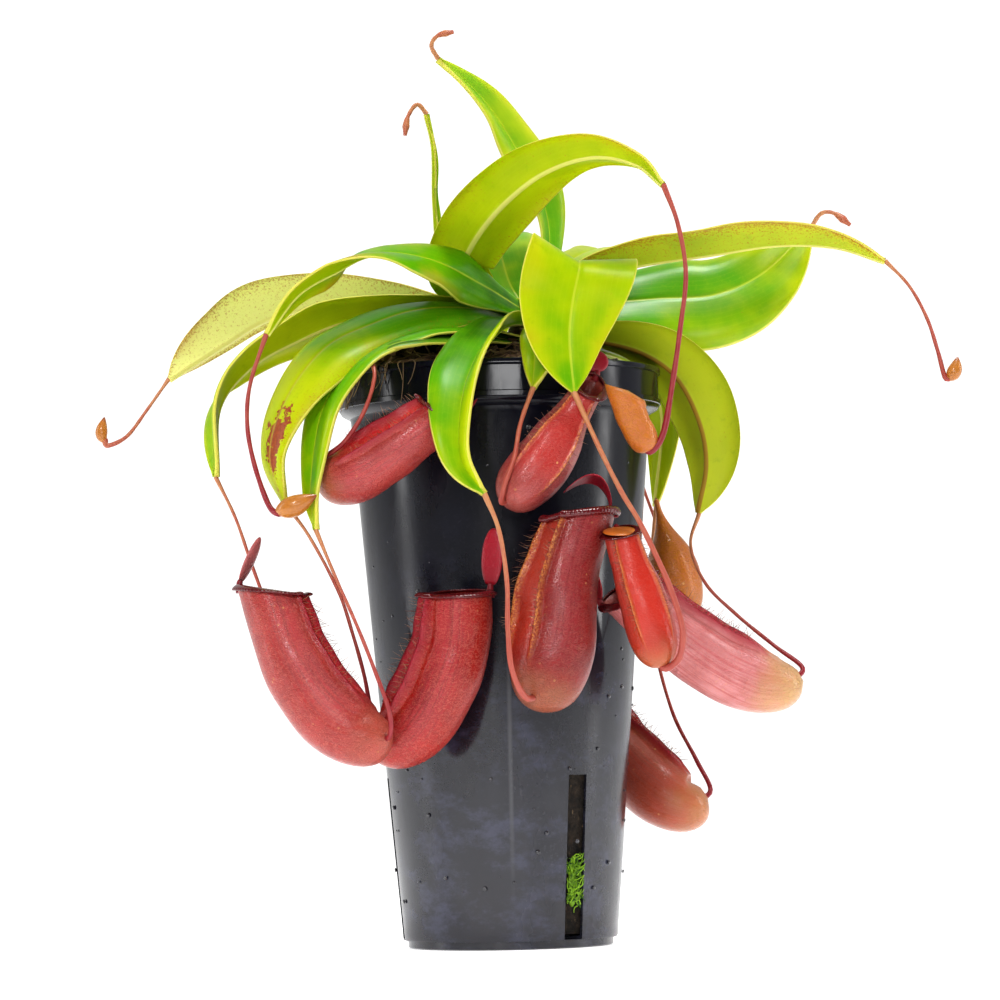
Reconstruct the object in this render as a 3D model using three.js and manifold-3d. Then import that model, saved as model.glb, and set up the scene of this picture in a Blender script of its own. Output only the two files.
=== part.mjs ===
// A pitcher plant (Nepenthes) in a tall black plastic nursery pot.
//
// Millimetres, +Z up. The origin is the middle of the pot's flat underside, -Y is the front.
// Every leaf of the plant is a blade, then a tendril that carries on from the blade's tip,
// then a pitcher or the bud of one. They are separate meshes that stand a small gap apart.

import * as THREE from 'three';
import { mergeVertices } from 'three/addons/utils/BufferGeometryUtils.js';
import Module from 'manifold-3d';

const wasm = await Module();
wasm.setup();

// ---------------------------------------------------------------- driving dimensions

const GAP = 0.3; // between neighbouring pieces

const pot = {
  height: 177,
  rimRadius: 50,
  collarHeight: 12,
  shoulderRadius: 46.4,
  baseRadius: 33,
  footRadius: 31.5,
  footHeight: 2.5,
  wall: 1.1,
  slotWidth: 6.5,
  slotBottom: 2.2,
  slotTop: 52.5,
  slotTurns: [35, 155, 275], // degrees, from the front towards the right
};

const mix = {
  edgeHeight: 171, // where the potting mix meets the pot
  crownHeight: 182, // top of the mound round the stem
};

const stem = {
  route: [[8, 3, 172], [9, 2, 184], [10, 2, 198], [9, 3, 204]],
  radius: 3.2,
};

const blade = {
  thickness: 0.8,
  tipWidth: 1.8,
  baseShare: 0.34, // width at the stem, as a share of the widest
};

const tendrilRadius = 0.75;
const pitcherWall = 1;
const lip = 1.4; // how far the rolled rim of a mouth stands out

// ---------------------------------------------------------------- finishes

const finish = (color, roughness) => new THREE.MeshStandardMaterial({ color, roughness, metalness: 0 });

const finishes = {
  pot: () => finish('#33343a', 0.35),
  mix: () => finish('#4a3a2c', 0.95),
  stem: () => finish('#7a6a3a', 0.7),
  moss: () => finish('#5f7d2c', 0.9),
  leaf: () => finish('#7fae2f', 0.45),
  tendril: () => finish('#a2493a', 0.5),
  pitcher: () => finish('#b8402f', 0.4),
  bud: () => finish('#d2732a', 0.45),
};

// ---------------------------------------------------------------- the leaves
//
// Each blade's route is its midrib, from the stem to the tip, and its faces say which way the
// upper side looks along it. Halves are the widest widths left and right of the midrib, widest is
// how far along they lie, and fold gives the degrees that each half is raised. A tendril starts at
// the blade's tip. A pitcher's or a bud's route runs from its foot, where the tendril holds it, to
// its mouth; front is where its two wings run, slant is how far the mouth dips towards them, and
// a lid points along one direction with its flat side to another.

const leaves = [
  {
    name: 'upright',
    blade: {
      route: [[11, 4, 197], [16, 9, 213], [15, 13, 231], [5, 14, 252], [-4, 12, 265], [-17, 9, 277]],
      faces: [[0.9, -0.3, 0.3], [0.95, -0.2, 0], [0.7, 0, 0.7]],
      halves: [10, 9], fold: [50, 30],
    },
    tendril: [[-17, 9, 277], [-19, 8, 281], [-17, 7, 284], [-12, 6, 285]],
    swollenTip: 1.3,
  },
  {
    name: 'rolled',
    blade: {
      route: [[8, 4, 198], [-6, 14, 206], [-17, 18, 217], [-19, 19, 232], [-19, 19, 250], [-21, 18, 261]],
      faces: [[0.5, -0.3, 0.8], [0.9, -0.4, 0]],
      halves: [3.4, 3.4], fold: [64, 64],
    },
    tendril: [[-21, 18, 261], [-24, 17, 264], [-27, 16, 260], [-28, 15, 254]],
    swollenTip: 1.7,
  },
  {
    name: 'overhead',
    blade: {
      route: [[7, 0, 199], [-5, -8, 205], [-8, -17, 213], [1, -31, 224], [14, -42, 233],
        [29, -49, 237], [42, -54, 234], [50, -57, 227]],
      faces: [[0, 0.8, 0.6], [0, 0.87, 0.5], [0, 0.87, 0.5], [0, 0.6, 0.8], [0.2, 0.3, 0.9]],
      halves: [12.5, 14], fold: [30, 30], widest: 0.36,
    },
    tendril: [[50, -57, 227], [54, -58, 215], [56, -59, 200], [54, -60, 184], [51, -61, 166],
      [48, -62, 152], [44, -62, 147]],
    bud: {
      route: [[43, -62, 147], [40, -62, 152], [38, -63, 159], [36, -64, 167]],
      radius: 5.2, blunt: true,
    },
  },
  {
    name: 'front',
    blade: {
      route: [[12, -4, 195], [19, -20, 203], [25, -37, 206], [24, -51, 199], [20, -59, 185],
        [22, -63, 165]],
      faces: [[0, -0.3, 1], [0, -0.2, 1], [0, -0.9, 0.5], [0, -1, 0.1]],
      halves: [16, 16.5], fold: [6, 34],
    },
    tendril: [[22, -63, 165], [29, -67, 148], [35, -70, 135], [40, -72, 126], [45, -74, 115],
      [49, -74, 105], [52, -73, 94], [51, -69, 86], [47, -66, 83]],
    pitcher: {
      route: [[46, -65, 83], [44, -65, 91], [41, -66, 102], [37, -66, 115], [34, -66, 126]],
      radius: 7.7, mouth: 5.6, front: [0.8, -0.6, 0], slant: 0.1, closed: true,
    },
  },
  {
    name: 'front_left',
    blade: {
      route: [[9, -5, 192], [2, -26, 189], [-5, -46, 180], [-10, -60, 168], [-12, -68, 154],
        [-11, -70, 144], [-5, -70, 135]],
      faces: [[0, -0.4, 0.9], [0, -0.6, 0.8], [0, -1, 0.2]],
      halves: [11, 12.5], fold: [68, 18], widest: 0.5,
    },
    tendril: [[-5, -70, 135], [-1, -74, 124], [1, -78, 109], [1, -80, 95], [2, -79, 83], [6, -73, 75]],
    pitcher: {
      route: [[9, -67, 72], [12, -63, 81], [15, -61, 93], [17, -60, 109], [23, -59, 128]],
      radius: 12.2, mouth: 9.6, front: [-1, -0.4, 0], slant: 0.5,
      lid: { along: [-0.8, 0, 0.5], face: [0.5, 0, 0.8] },
    },
  },
  {
    name: 'front_inner',
    blade: {
      route: [[10, -6, 191], [11, -28, 187], [11, -46, 180], [10, -58, 167]],
      faces: [[0, -0.4, 0.9], [0, -0.6, 0.8], [-0.2, -0.9, 0.3]],
      halves: [8, 5], fold: [16, 20], widest: 0.6,
    },
    tendril: [[10, -58, 167], [6, -62, 156], [4, -64, 146], [1, -65, 138], [0, -62, 133]],
    pitcher: {
      route: [[0, -60, 133], [6, -58, 138], [13, -57, 146], [19, -57, 155], [27, -57, 168]],
      radius: 8.8, mouth: 5, front: [-0.8, -0.4, 0.4], slant: 0.1,
      lid: { along: [-0.4, 0.2, 0.9], face: [0.9, 0, 0.4] },
    },
  },
  {
    name: 'left_thin',
    blade: {
      route: [[7, -5, 196], [-4, -17, 202], [-20, -30, 209], [-37, -41, 210], [-49, -47, 204],
        [-60, -51, 197], [-69, -54, 185]],
      faces: [[0, -0.5, 0.9], [0, -0.45, 0.9], [0, -0.1, 1], [-0.3, 0.4, 0.9], [-0.6, 0.4, 0.7]],
      halves: [10.5, 10.5], fold: [8, 8],
    },
    tendril: [[-69, -54, 185], [-74, -55, 170], [-75, -56, 158], [-73, -58, 146], [-69, -60, 134],
      [-66, -63, 131]],
    bud: { route: [[-65, -63, 132], [-61, -64, 133], [-57, -65, 135]], radius: 3.1 },
  },
  {
    name: 'left_far',
    blade: {
      route: [[8, 4, 196], [-12, 12, 199], [-32, 18, 202], [-53, 23, 202], [-73, 25, 198],
        [-87, 24, 190], [-104, 20, 179]],
      faces: [[0, 0.3, 0.9], [0, 0.7, 0.7], [-0.3, 0.75, 0.6]],
      halves: [15.5, 13], fold: [35, 55], widest: 0.72,
    },
    tendril: [[-104, 20, 179], [-111, 18, 169], [-117, 16, 161], [-123, 15, 158]],
    bud: { route: [[-124, 15, 159], [-125, 15, 162], [-124, 15, 167]], radius: 1.9 },
  },
  {
    name: 'left_middle',
    blade: {
      route: [[7, -1, 194], [-12, -6, 196], [-30, -9, 195], [-47, -12, 193], [-62, -15, 187],
        [-76, -18, 179], [-86, -20, 166], [-87, -21, 145]],
      faces: [[0, 0, 1], [0, 0.2, 1], [-0.1, 0.3, 0.9], [-0.5, 0, 0.8], [-0.75, -0.65, 0.1]],
      halves: [13.5, 13], fold: [38, 12], widest: 0.55,
    },
    tendril: [[-87, -21, 145], [-81, -22, 132], [-76, -24, 117], [-71, -26, 104], [-64, -28, 92]],
    bud: { route: [[-63, -28, 91], [-59, -29, 91], [-57, -29, 95]], radius: 2.4 },
  },
  {
    name: 'left_blotched',
    blade: {
      route: [[6, -6, 192], [-8, -18, 195], [-24, -28, 194], [-38, -37, 189], [-52, -47, 181],
        [-63, -54, 166], [-68, -58, 149], [-64, -59, 134]],
      faces: [[0, -0.5, 0.85], [-0.1, -0.6, 0.8], [-0.5, -0.65, 0.5], [-0.9, -0.45, 0.1]],
      halves: [12.5, 13.5], fold: [-4, -4], widest: 0.5,
    },
    tendril: [[-64, -59, 134], [-57, -57, 124], [-49, -53, 108], [-45, -50, 95], [-42, -47, 83],
      [-40, -46, 72]],
    pitcher: {
      route: [[-38, -46, 64], [-31, -50, 65], [-24, -54, 71], [-18, -57, 81], [-14, -58, 93],
        [-13, -59, 106]],
      radius: 10.6, mouth: 9.6, front: [-0.9, -0.3, 0.2], slant: 0.1,
      lid: { along: [0, 0, 1], face: [-0.8, -0.6, 0] },
    },
  },
  {
    name: 'left_under',
    blade: {
      route: [[6, -8, 187], [-9, -22, 185], [-24, -32, 181.5], [-36, -41, 177], [-46, -50, 169],
        [-53, -56, 159], [-56, -60, 139], [-55, -62, 126]],
      faces: [[0, -0.3, 0.95], [-0.3, -0.1, 0.9], [-0.9, 0, 0.4], [-1, 0, 0]],
      halves: [11, 10], fold: [18, 20],
    },
    tendril: [[-55, -62, 126], [-49, -66, 111], [-43, -72, 97], [-38, -77, 84], [-34, -77, 72],
      [-34, -72, 65]],
    pitcher: {
      route: [[-35, -68, 64], [-42, -65, 65], [-50, -62, 70], [-58, -60, 80], [-64, -58, 92],
        [-69, -56, 108]],
      radius: 10.6, mouth: 9.3, front: [0.9, -0.3, 0.4], slant: 0.5,
      lid: { along: [0.45, 0, 0.9], face: [0.9, 0, -0.45] },
    },
  },
  {
    name: 'left_short',
    blade: {
      route: [[7, -10, 184], [-7, -28, 180.5], [-22, -42, 178.5], [-31, -48, 178.5], [-38, -52, 177]],
      faces: [[0, -0.3, 0.9], [0, -0.4, 0.9]],
      halves: [5, 5], fold: [10, 10],
    },
    tendril: [[-38, -52, 177], [-37, -57, 171], [-40, -61, 161], [-46, -61, 152], [-53, -57, 147],
      [-57, -53, 143]],
    pitcher: {
      route: [[-55, -52, 142], [-45, -55, 142], [-35, -57, 147], [-26, -59, 153], [-18, -58, 159]],
      radius: 8.6, mouth: 7, front: [-0.4, -0.2, 0.9], slant: 0.3,
      lid: { along: [0.6, 0, 0.8], face: [-0.8, 0, 0.6] },
    },
  },
  {
    name: 'back_left',
    blade: {
      route: [[9, 6, 197], [6, 14, 203], [3, 29, 215], [1, 45, 221], [0, 62, 218], [0, 84, 194]],
      faces: [[0, -0.8, 0.6], [0, -0.6, 0.8], [0, 0.6, 0.8]],
      halves: [12, 12.5], fold: [12, 12],
    },
    tendril: [[0, 84, 194], [-2, 88, 178], [-5, 88, 160], [-10, 84, 144]],
    bud: { route: [[-11, 83, 142], [-14, 81, 144], [-16, 80, 151]], radius: 3 },
  },
  {
    name: 'back',
    blade: {
      route: [[10, 8, 198], [18, 22, 210], [30, 40, 219], [35, 56, 217], [38, 74, 184]],
      faces: [[-0.3, -0.5, 0.8], [0, -0.3, 1], [0.3, 0.8, 0.4]],
      halves: [10, 10], fold: [12, 12],
    },
    tendril: [[38, 74, 184], [42, 76, 161], [50, 68, 134], [60, 50, 110], [59, 39, 99]],
    pitcher: {
      route: [[56, 34, 100], [55, 31, 109], [53, 30, 121], [50, 31, 137]],
      radius: 7, mouth: 3, front: [0.7, -0.7, 0], slant: 0, closed: true,
    },
  },
  {
    name: 'back_right',
    blade: {
      route: [[12, 4, 192], [27, 18, 187], [40, 35, 184], [49, 50, 178], [53, 60, 165], [50, 62, 138]],
      faces: [[0, -0.2, 1], [0, -0.2, 1], [0.6, 0.7, 0.3]],
      halves: [10, 10], fold: [10, 10],
    },
    tendril: [[50, 62, 138], [48, 60, 120], [48, 56, 96], [53, 48, 72], [60, 38, 56], [64, 31, 46]],
    pitcher: {
      route: [[63, 29, 44], [56, 29, 42], [48, 32, 47], [41, 38, 55], [34, 45, 65], [29, 52, 76]],
      radius: 10.4, mouth: 8.4, front: [0.6, -0.1, 0.8], slant: 0.35,
      lid: { along: [0, 0.4, 0.9], face: [0.7, -0.6, 0.3] },
    },
  },
  {
    name: 'right_glossy',
    blade: {
      route: [[14, 2, 194], [30, 7, 198], [50, 10, 200], [68, 11, 201], [84, 13, 208], [99, 14, 222]],
      faces: [[0, -0.7, 0.7], [0, -0.9, 0.4], [0, -0.9, 0.4]],
      halves: [15, 17], fold: [8, 4], widest: 0.52,
    },
    tendril: [[99, 14, 222], [102, 12, 226], [106, 11, 226], [111, 10, 222]],
    swollenTip: 1.5,
  },
  {
    name: 'right_top',
    blade: {
      route: [[14, 1, 199], [27, -7, 205], [43, -16, 208], [66, -24, 210], [85, -27, 212],
        [103, -28, 211], [118, -29, 206]],
      faces: [[0, 0, 1], [0, 0.1, 1], [0.1, 0.1, 1]],
      halves: [12.5, 13.5], fold: [25, 32], widest: 0.5,
    },
    tendril: [[118, -29, 206], [125, -30, 198], [130, -31, 188], [133, -31, 178], [135, -31, 170]],
    bud: { route: [[136, -31, 169], [138, -31, 172], [139, -31, 176]], radius: 2.2 },
  },
  {
    name: 'right_low',
    blade: {
      route: [[14, 0, 190], [30, 1, 187], [44, 1, 183], [55, 1, 175], [62, 1, 161], [64, 0, 147],
        [61, -1, 132]],
      faces: [[0, 0.3, 0.9], [0.1, 0.6, 0.8], [0.5, 0.8, 0.3], [0.6, 0.8, 0]],
      halves: [12.5, 13], fold: [30, 30], widest: 0.58,
    },
    tendril: [[61, -1, 132], [58, -4, 122], [62, -9, 110], [71, -14, 100], [82, -21, 90],
      [90, -26, 83]],
    pitcher: {
      route: [[90, -28, 79], [82, -28, 78], [73, -29, 80], [61, -34, 86], [48, -39, 96], [37, -43, 106]],
      radius: 9.8, mouth: 8.2, front: [0.4, -0.3, 0.9], slant: 0.35,
      lid: { along: [-0.3, -0.1, 0.95], face: [0.9, 0.3, 0.3] },
    },
  },
];

// ---------------------------------------------------------------- paths and lofts

const vector = ([x, y, z]) => new THREE.Vector3(x, y, z);

// A smooth path through a few points.
const pathThrough = (points) => new THREE.CatmullRomCurve3(points.map(vector), false, 'catmullrom', 0.5);

// One of a list of directions, blended by how far along the piece it is.
function blendedDirection(directions, share) {
  const place = share * (directions.length - 1);
  const first = Math.min(Math.floor(place), directions.length - 2);
  return vector(directions[first]).lerp(vector(directions[first + 1]), place - first);
}

// Position, direction, upward normal and side of a path, with the normal as near the hint as
// the direction allows.
function frameAt(path, share, hint) {
  const point = path.getPointAt(share);
  const ahead = path.getTangentAt(share);
  const up = hint.clone().addScaledVector(ahead, -hint.dot(ahead)).normalize();
  const side = new THREE.Vector3().crossVectors(ahead, up);
  return { point, ahead, up, side };
}

// A closed body through rings of equal length, its two ends closed by strips.
function loft(rings) {
  const count = rings[0].length;
  const indices = [];
  for (let row = 0; row < rings.length - 1; row += 1) {
    for (let column = 0; column < count; column += 1) {
      const next = (column + 1) % count;
      const a = row * count + column;
      const b = row * count + next;
      indices.push(a, b, b + count, a, b + count, a + count);
    }
  }
  const last = (rings.length - 1) * count;
  for (let column = 0; column < count / 2 - 1; column += 1) {
    const far = count - 1 - column;
    indices.push(column, far, far - 1, column, far - 1, column + 1);
    indices.push(last + column, last + column + 1, last + far - 1);
    indices.push(last + column, last + far - 1, last + far);
  }
  const geometry = new THREE.BufferGeometry();
  const numbers = rings.flat().flatMap((corner) => corner.toArray());
  geometry.setAttribute('position', new THREE.Float32BufferAttribute(numbers, 3));
  geometry.setIndex(indices);
  return geometry;
}

// ---------------------------------------------------------------- solids

// three.js geometry to a solid that can be joined and cut.
function solid(geometry) {
  const bare = geometry.clone();
  bare.deleteAttribute('normal');
  bare.deleteAttribute('uv');
  const merged = mergeVertices(bare, 1e-4);
  return new wasm.Manifold(new wasm.Mesh({
    numProp: 3,
    vertProperties: new Float32Array(merged.attributes.position.array),
    triVerts: new Uint32Array(merged.index.array),
  }));
}

// A solid back to three.js geometry.
function geometryOf(body) {
  const mesh = body.getMesh();
  const geometry = new THREE.BufferGeometry();
  geometry.setAttribute('position', new THREE.BufferAttribute(mesh.vertProperties, 3));
  geometry.setIndex(new THREE.BufferAttribute(mesh.triVerts, 1));
  return geometry;
}

// What is left of a body once its neighbours, grown by the gap, are taken out of it. Slivers
// that the cut leaves apart from the piece are dropped.
function clearOf(body, neighbours) {
  const box = body.boundingBox();
  const near = neighbours.filter((other) => {
    const theirs = other.boundingBox();
    return [0, 1, 2].every((axis) => box.min[axis] < theirs.max[axis] && theirs.min[axis] < box.max[axis]);
  });
  const rest = near.reduce((left, other) => left.subtract(other), body);
  const parts = rest.decompose();
  return parts.reduce((largest, part) => (part.volume() > largest.volume() ? part : largest));
}

// ---------------------------------------------------------------- pot and potting mix

const turned = (profile, segments) => {
  const outline = profile.map(([radius, height]) => new THREE.Vector2(radius, height));
  return new THREE.LatheGeometry(outline, segments).rotateX(Math.PI / 2);
};

// The pot's wall, grown by some margin on every side.
function potBody(margin) {
  const { height, rimRadius, collarHeight, shoulderRadius, baseRadius, footRadius, footHeight, wall } = pot;
  const collarBottom = height - collarHeight;
  const profile = [
    [0, -margin],
    [footRadius + margin, -margin],
    [footRadius + margin, footHeight - margin],
    [baseRadius + margin, footHeight - margin],
    [shoulderRadius + margin, collarBottom - 2 - margin],
    [rimRadius - 0.5 + margin, collarBottom - margin],
    [rimRadius + margin, height + margin],
    [rimRadius - wall - margin, height + margin],
    [rimRadius - 0.5 - wall - margin, collarBottom + margin],
    [shoulderRadius - wall - margin, collarBottom - 2 + margin],
    [baseRadius - wall - margin, footHeight + wall + margin],
    [0, footHeight + wall + margin],
  ];
  return solid(turned(profile, 40));
}

// Drain slots stand round the foot of the wall.
function slotCutter(turn) {
  const { slotWidth, slotBottom, slotTop, baseRadius } = pot;
  const depth = 14;
  const box = new THREE.BoxGeometry(slotWidth, depth, slotTop - slotBottom);
  box.translate(0, -(baseRadius + 1.5), (slotTop + slotBottom) / 2);
  box.rotateZ(THREE.MathUtils.degToRad(turn));
  return solid(box);
}

function potWithSlots() {
  return pot.slotTurns.reduce((wall, turn) => wall.subtract(slotCutter(turn)), potBody(0));
}

function mixBody(margin) {
  const { height, rimRadius, collarHeight, shoulderRadius, baseRadius, footHeight, wall } = pot;
  const inset = wall + GAP - margin;
  const collarBottom = height - collarHeight;
  const rise = mix.crownHeight - mix.edgeHeight;
  const mound = [0.9, 0.65, 0.35].map((share) => [
    (rimRadius - 0.5 - inset) * share,
    mix.edgeHeight + rise * Math.cos((share * Math.PI) / 2) ** 0.8 + margin,
  ]);
  const profile = [
    [0, footHeight + inset],
    [baseRadius - inset, footHeight + inset],
    [shoulderRadius - inset, collarBottom - 2],
    [rimRadius - 0.6 - inset, collarBottom + 0.6],
    [rimRadius - 0.5 - inset, mix.edgeHeight + margin],
    ...mound,
    [0, mix.crownHeight + margin],
  ];
  return solid(turned(profile, 40));
}

// Moss that has grown out through the slot on the right of the front.
function mossBody() {
  const tuft = new THREE.SphereGeometry(1, 8, 6);
  tuft.scale(2.6, 3.4, 7);
  tuft.translate(0, -34, 22);
  tuft.rotateZ(THREE.MathUtils.degToRad(pot.slotTurns[0]));
  return solid(tuft);
}

// ---------------------------------------------------------------- stem, tendrils and buds

// How far the first and last rings of a grown body move outwards along its path.
const pastEnd = (step, steps, margin) => (step === steps ? margin : 0) - (step === 0 ? margin : 0);

// A round rod along a route. radiusAt gives the radius at each share of its length.
function rodBody(route, radiusAt, sides, steps, margin) {
  const path = pathThrough(route);
  const frames = path.computeFrenetFrames(steps, false);
  const rings = [];
  for (let step = 0; step <= steps; step += 1) {
    const centre = path.getPointAt(step / steps);
    centre.addScaledVector(frames.tangents[step], pastEnd(step, steps, margin));
    const radius = radiusAt(step / steps) + margin;
    const ring = [];
    for (let corner = 0; corner < sides; corner += 1) {
      const angle = (corner / sides) * 2 * Math.PI;
      const arm = frames.normals[step].clone().multiplyScalar(Math.cos(angle) * radius);
      arm.addScaledVector(frames.binormals[step], Math.sin(angle) * radius);
      ring.push(centre.clone().add(arm));
    }
    rings.push(ring);
  }
  return solid(loft(rings));
}

const stemBody = (margin) => rodBody(stem.route, () => stem.radius, 8, 4, margin);

// A tendril ends just inside the foot of what it carries. Where that is nothing yet, it swells.
function tendrilBody(leaf, margin) {
  const swelling = leaf.swollenTip ?? tendrilRadius;
  const carried = leaf.pitcher ?? leaf.bud;
  const route = [...leaf.tendril];
  if (carried) route.push(pathThrough(carried.route).getPointAt(0.08).toArray());
  const radiusAt = (share) => {
    const nearEnd = Math.max(0, share - 0.6) / 0.4;
    return tendrilRadius + (swelling - tendrilRadius) * Math.sin(Math.PI * Math.min(nearEnd, 0.9));
  };
  return rodBody(route, radiusAt, 5, 2 * route.length, margin);
}

// A closed bud: narrow at its foot, full in the middle and drawn in at its tip. A blunt one keeps
// its full width almost to the end, as a bucket does.
function budBody({ route, radius, blunt }, margin) {
  const spread = blunt ? 0.6 : 0.84;
  const radiusAt = (share) => Math.max(0.5, radius * Math.sin(Math.PI * (0.08 + spread * share)) ** 0.8);
  return rodBody(route, radiusAt, 8, 6, margin);
}

// ---------------------------------------------------------------- blades

// Half the blade's width at each share of its length: lance-shaped, with a clasping foot.
function halfWidth(half, widest, share) {
  const lance = Math.sin(Math.PI * share ** (Math.log(0.5) / Math.log(widest))) ** 0.72;
  const foot = blade.baseShare * (1 - share) ** 5;
  return Math.max(half * Math.hypot(lance, foot), blade.tipWidth / 2);
}

// A blade is two leaves of one thin sheet, left and right of the midrib as seen from the stem.
function bladeBody({ route, faces, halves, fold, widest = 0.43 }, margin) {
  const path = pathThrough(route);
  const steps = 13;
  const shares = [-1, 0, 1];
  const rings = [];
  for (let step = 0; step <= steps; step += 1) {
    const share = step / steps;
    const { point, ahead, up, side } = frameAt(path, share, blendedDirection(faces, share));
    point.addScaledVector(ahead, pastEnd(step, steps, margin));
    const place = (across, lift) => {
      const hand = across < 0 ? 0 : 1;
      const raise = THREE.MathUtils.degToRad(fold[hand]);
      const edge = Math.abs(across) === 1 ? margin : 0;
      const reach = Math.abs(across) * halfWidth(halves[hand], widest, share) + edge;
      const corner = point.clone().addScaledVector(side, Math.sign(across) * reach * Math.cos(raise));
      return corner.addScaledVector(up, reach * Math.sin(raise) + lift);
    };
    const top = shares.map((across) => place(across, blade.thickness / 2 + margin));
    const under = shares.map((across) => place(across, -blade.thickness / 2 - margin));
    rings.push([...top, ...under.reverse()]);
  }
  return solid(loft(rings));
}

// ---------------------------------------------------------------- pitchers

// A pitcher's radius from its foot to its mouth: a round bottom, a full belly, a slimmer neck.
function pitcherRadius({ radius, mouth }, share) {
  const bottom = Math.min(share / 0.27, 1);
  const belly = radius * Math.sqrt(Math.max(0, 1 - (1 - bottom) ** 2));
  return belly + (mouth - radius) * THREE.MathUtils.smoothstep(share, 0.4, 0.95);
}

// The mouth slants down towards the front, where the wings are.
function pitcherRing(path, share, shape, extra) {
  const sides = 10;
  const { point, ahead, up, side } = frameAt(path, share, vector(shape.front));
  const radius = Math.max(0.8, pitcherRadius(shape, share) + extra);
  if (share === 0) point.addScaledVector(ahead, -Math.max(0, extra));
  const slant = shape.slant * THREE.MathUtils.smoothstep(share, 0.6, 1);
  const ring = [];
  for (let corner = 0; corner < sides; corner += 1) {
    const angle = (corner / sides) * 2 * Math.PI;
    const place = point.clone().addScaledVector(up, Math.cos(angle) * radius);
    place.addScaledVector(side, Math.sin(angle) * radius);
    ring.push(place.addScaledVector(ahead, -slant * Math.cos(angle) * radius));
  }
  return ring;
}

// An open pitcher is one wall: up the outside, over the rolled lip and down the inside. A young
// one is still shut by its lid.
function pitcherBody(shape, margin) {
  const path = pathThrough(shape.route);
  const ringAt = (share, extra) => pitcherRing(path, share, shape, extra);
  const outside = [0, 0.04, 0.12, 0.24, 0.38, 0.52, 0.66, 0.8];
  const rings = outside.map((share) => ringAt(share, margin));
  if (shape.closed) {
    rings.push(ringAt(0.97, margin), ringAt(1, margin - 0.6 * shape.mouth));
    return solid(loft(rings));
  }
  rings.push(ringAt(0.95, margin), ringAt(0.97, lip + margin), ringAt(1, lip + margin));
  rings.push(ringAt(1, -pitcherWall - margin));
  const inside = margin > 0 ? [0.9] : [0.85, 0.66, 0.48, 0.3];
  inside.forEach((share) => rings.push(ringAt(share, -pitcherWall - margin)));
  return solid(loft(rings)).add(lidBody(shape, path, margin));
}

// The lid stands on a short stalk at the back of the mouth.
function lidBody({ front, mouth, slant, lid }, path, margin) {
  const { point, ahead, up } = frameAt(path, 1, vector(front));
  const along = vector(lid.along).normalize();
  const thick = vector(lid.face);
  thick.addScaledVector(along, -thick.dot(along)).normalize();
  const across = new THREE.Vector3().crossVectors(thick, along);
  const root = point.clone().addScaledVector(up, -mouth - lip * 0.4).addScaledVector(ahead, slant * mouth);
  const disc = new THREE.SphereGeometry(1, 10, 5);
  const half = mouth * 0.85;
  disc.scale(half * 0.9 + margin, 0.8 + margin, half + margin);
  const centre = root.clone().addScaledVector(along, 2 + half);
  disc.applyMatrix4(new THREE.Matrix4().makeBasis(across, thick, along).setPosition(centre));
  const foot = root.clone().addScaledVector(ahead, -1.5);
  const tip = root.clone().addScaledVector(along, 4);
  const stalk = rodBody([foot, root, tip].map((corner) => corner.toArray()), () => 1.2, 5, 2, margin);
  return solid(disc).add(stalk);
}

// ---------------------------------------------------------------- assembly

const plant = new THREE.Group();
const placed = [potBody(GAP), mixBody(GAP)];

function addMesh(name, body, material) {
  const mesh = new THREE.Mesh(geometryOf(body), material);
  mesh.name = name;
  plant.add(mesh);
}

// Adds a piece cut clear of every piece already there, and keeps its grown form for the next ones.
function addPiece(name, bodyWith, material) {
  addMesh(name, clearOf(bodyWith(0), placed), material);
  placed.push(bodyWith(GAP));
}

addMesh('pot', potWithSlots(), finishes.pot());
addMesh('potting_mix', mixBody(0), finishes.mix());
addMesh('moss_tuft', clearOf(mossBody(), [mixBody(GAP)]), finishes.moss());
addPiece('main_stem', stemBody, finishes.stem());

leaves.forEach((leaf) => {
  addPiece(`leaf_${leaf.name}`, (margin) => bladeBody(leaf.blade, margin), finishes.leaf());
});
leaves.filter((leaf) => leaf.pitcher).forEach((leaf) => {
  addPiece(`pitcher_${leaf.name}`, (margin) => pitcherBody(leaf.pitcher, margin), finishes.pitcher());
});
leaves.filter((leaf) => leaf.bud).forEach((leaf) => {
  addPiece(`bud_${leaf.name}`, (margin) => budBody(leaf.bud, margin), finishes.bud());
});
leaves.forEach((leaf) => {
  addPiece(`tendril_${leaf.name}`, (margin) => tendrilBody(leaf, margin), finishes.tendril());
});

export default plant;
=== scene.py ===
# A pitcher plant (Nepenthes) in a tall black plastic nursery pot.

import math

import bpy
import numpy as np
from mathutils import Matrix, Vector
from mathutils.noise import noise


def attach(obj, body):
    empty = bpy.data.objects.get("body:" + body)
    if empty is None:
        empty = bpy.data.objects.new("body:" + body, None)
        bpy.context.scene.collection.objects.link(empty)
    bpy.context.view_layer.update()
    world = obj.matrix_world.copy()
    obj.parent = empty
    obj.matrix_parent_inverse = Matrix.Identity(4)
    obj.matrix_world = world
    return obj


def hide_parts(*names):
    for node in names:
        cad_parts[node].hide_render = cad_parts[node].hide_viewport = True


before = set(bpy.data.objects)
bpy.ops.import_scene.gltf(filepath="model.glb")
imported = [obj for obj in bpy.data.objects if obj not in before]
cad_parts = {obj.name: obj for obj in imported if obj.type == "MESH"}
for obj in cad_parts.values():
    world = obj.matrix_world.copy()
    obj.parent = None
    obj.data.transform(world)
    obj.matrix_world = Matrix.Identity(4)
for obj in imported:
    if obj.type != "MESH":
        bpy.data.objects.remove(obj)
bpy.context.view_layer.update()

scene = bpy.context.scene


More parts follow.
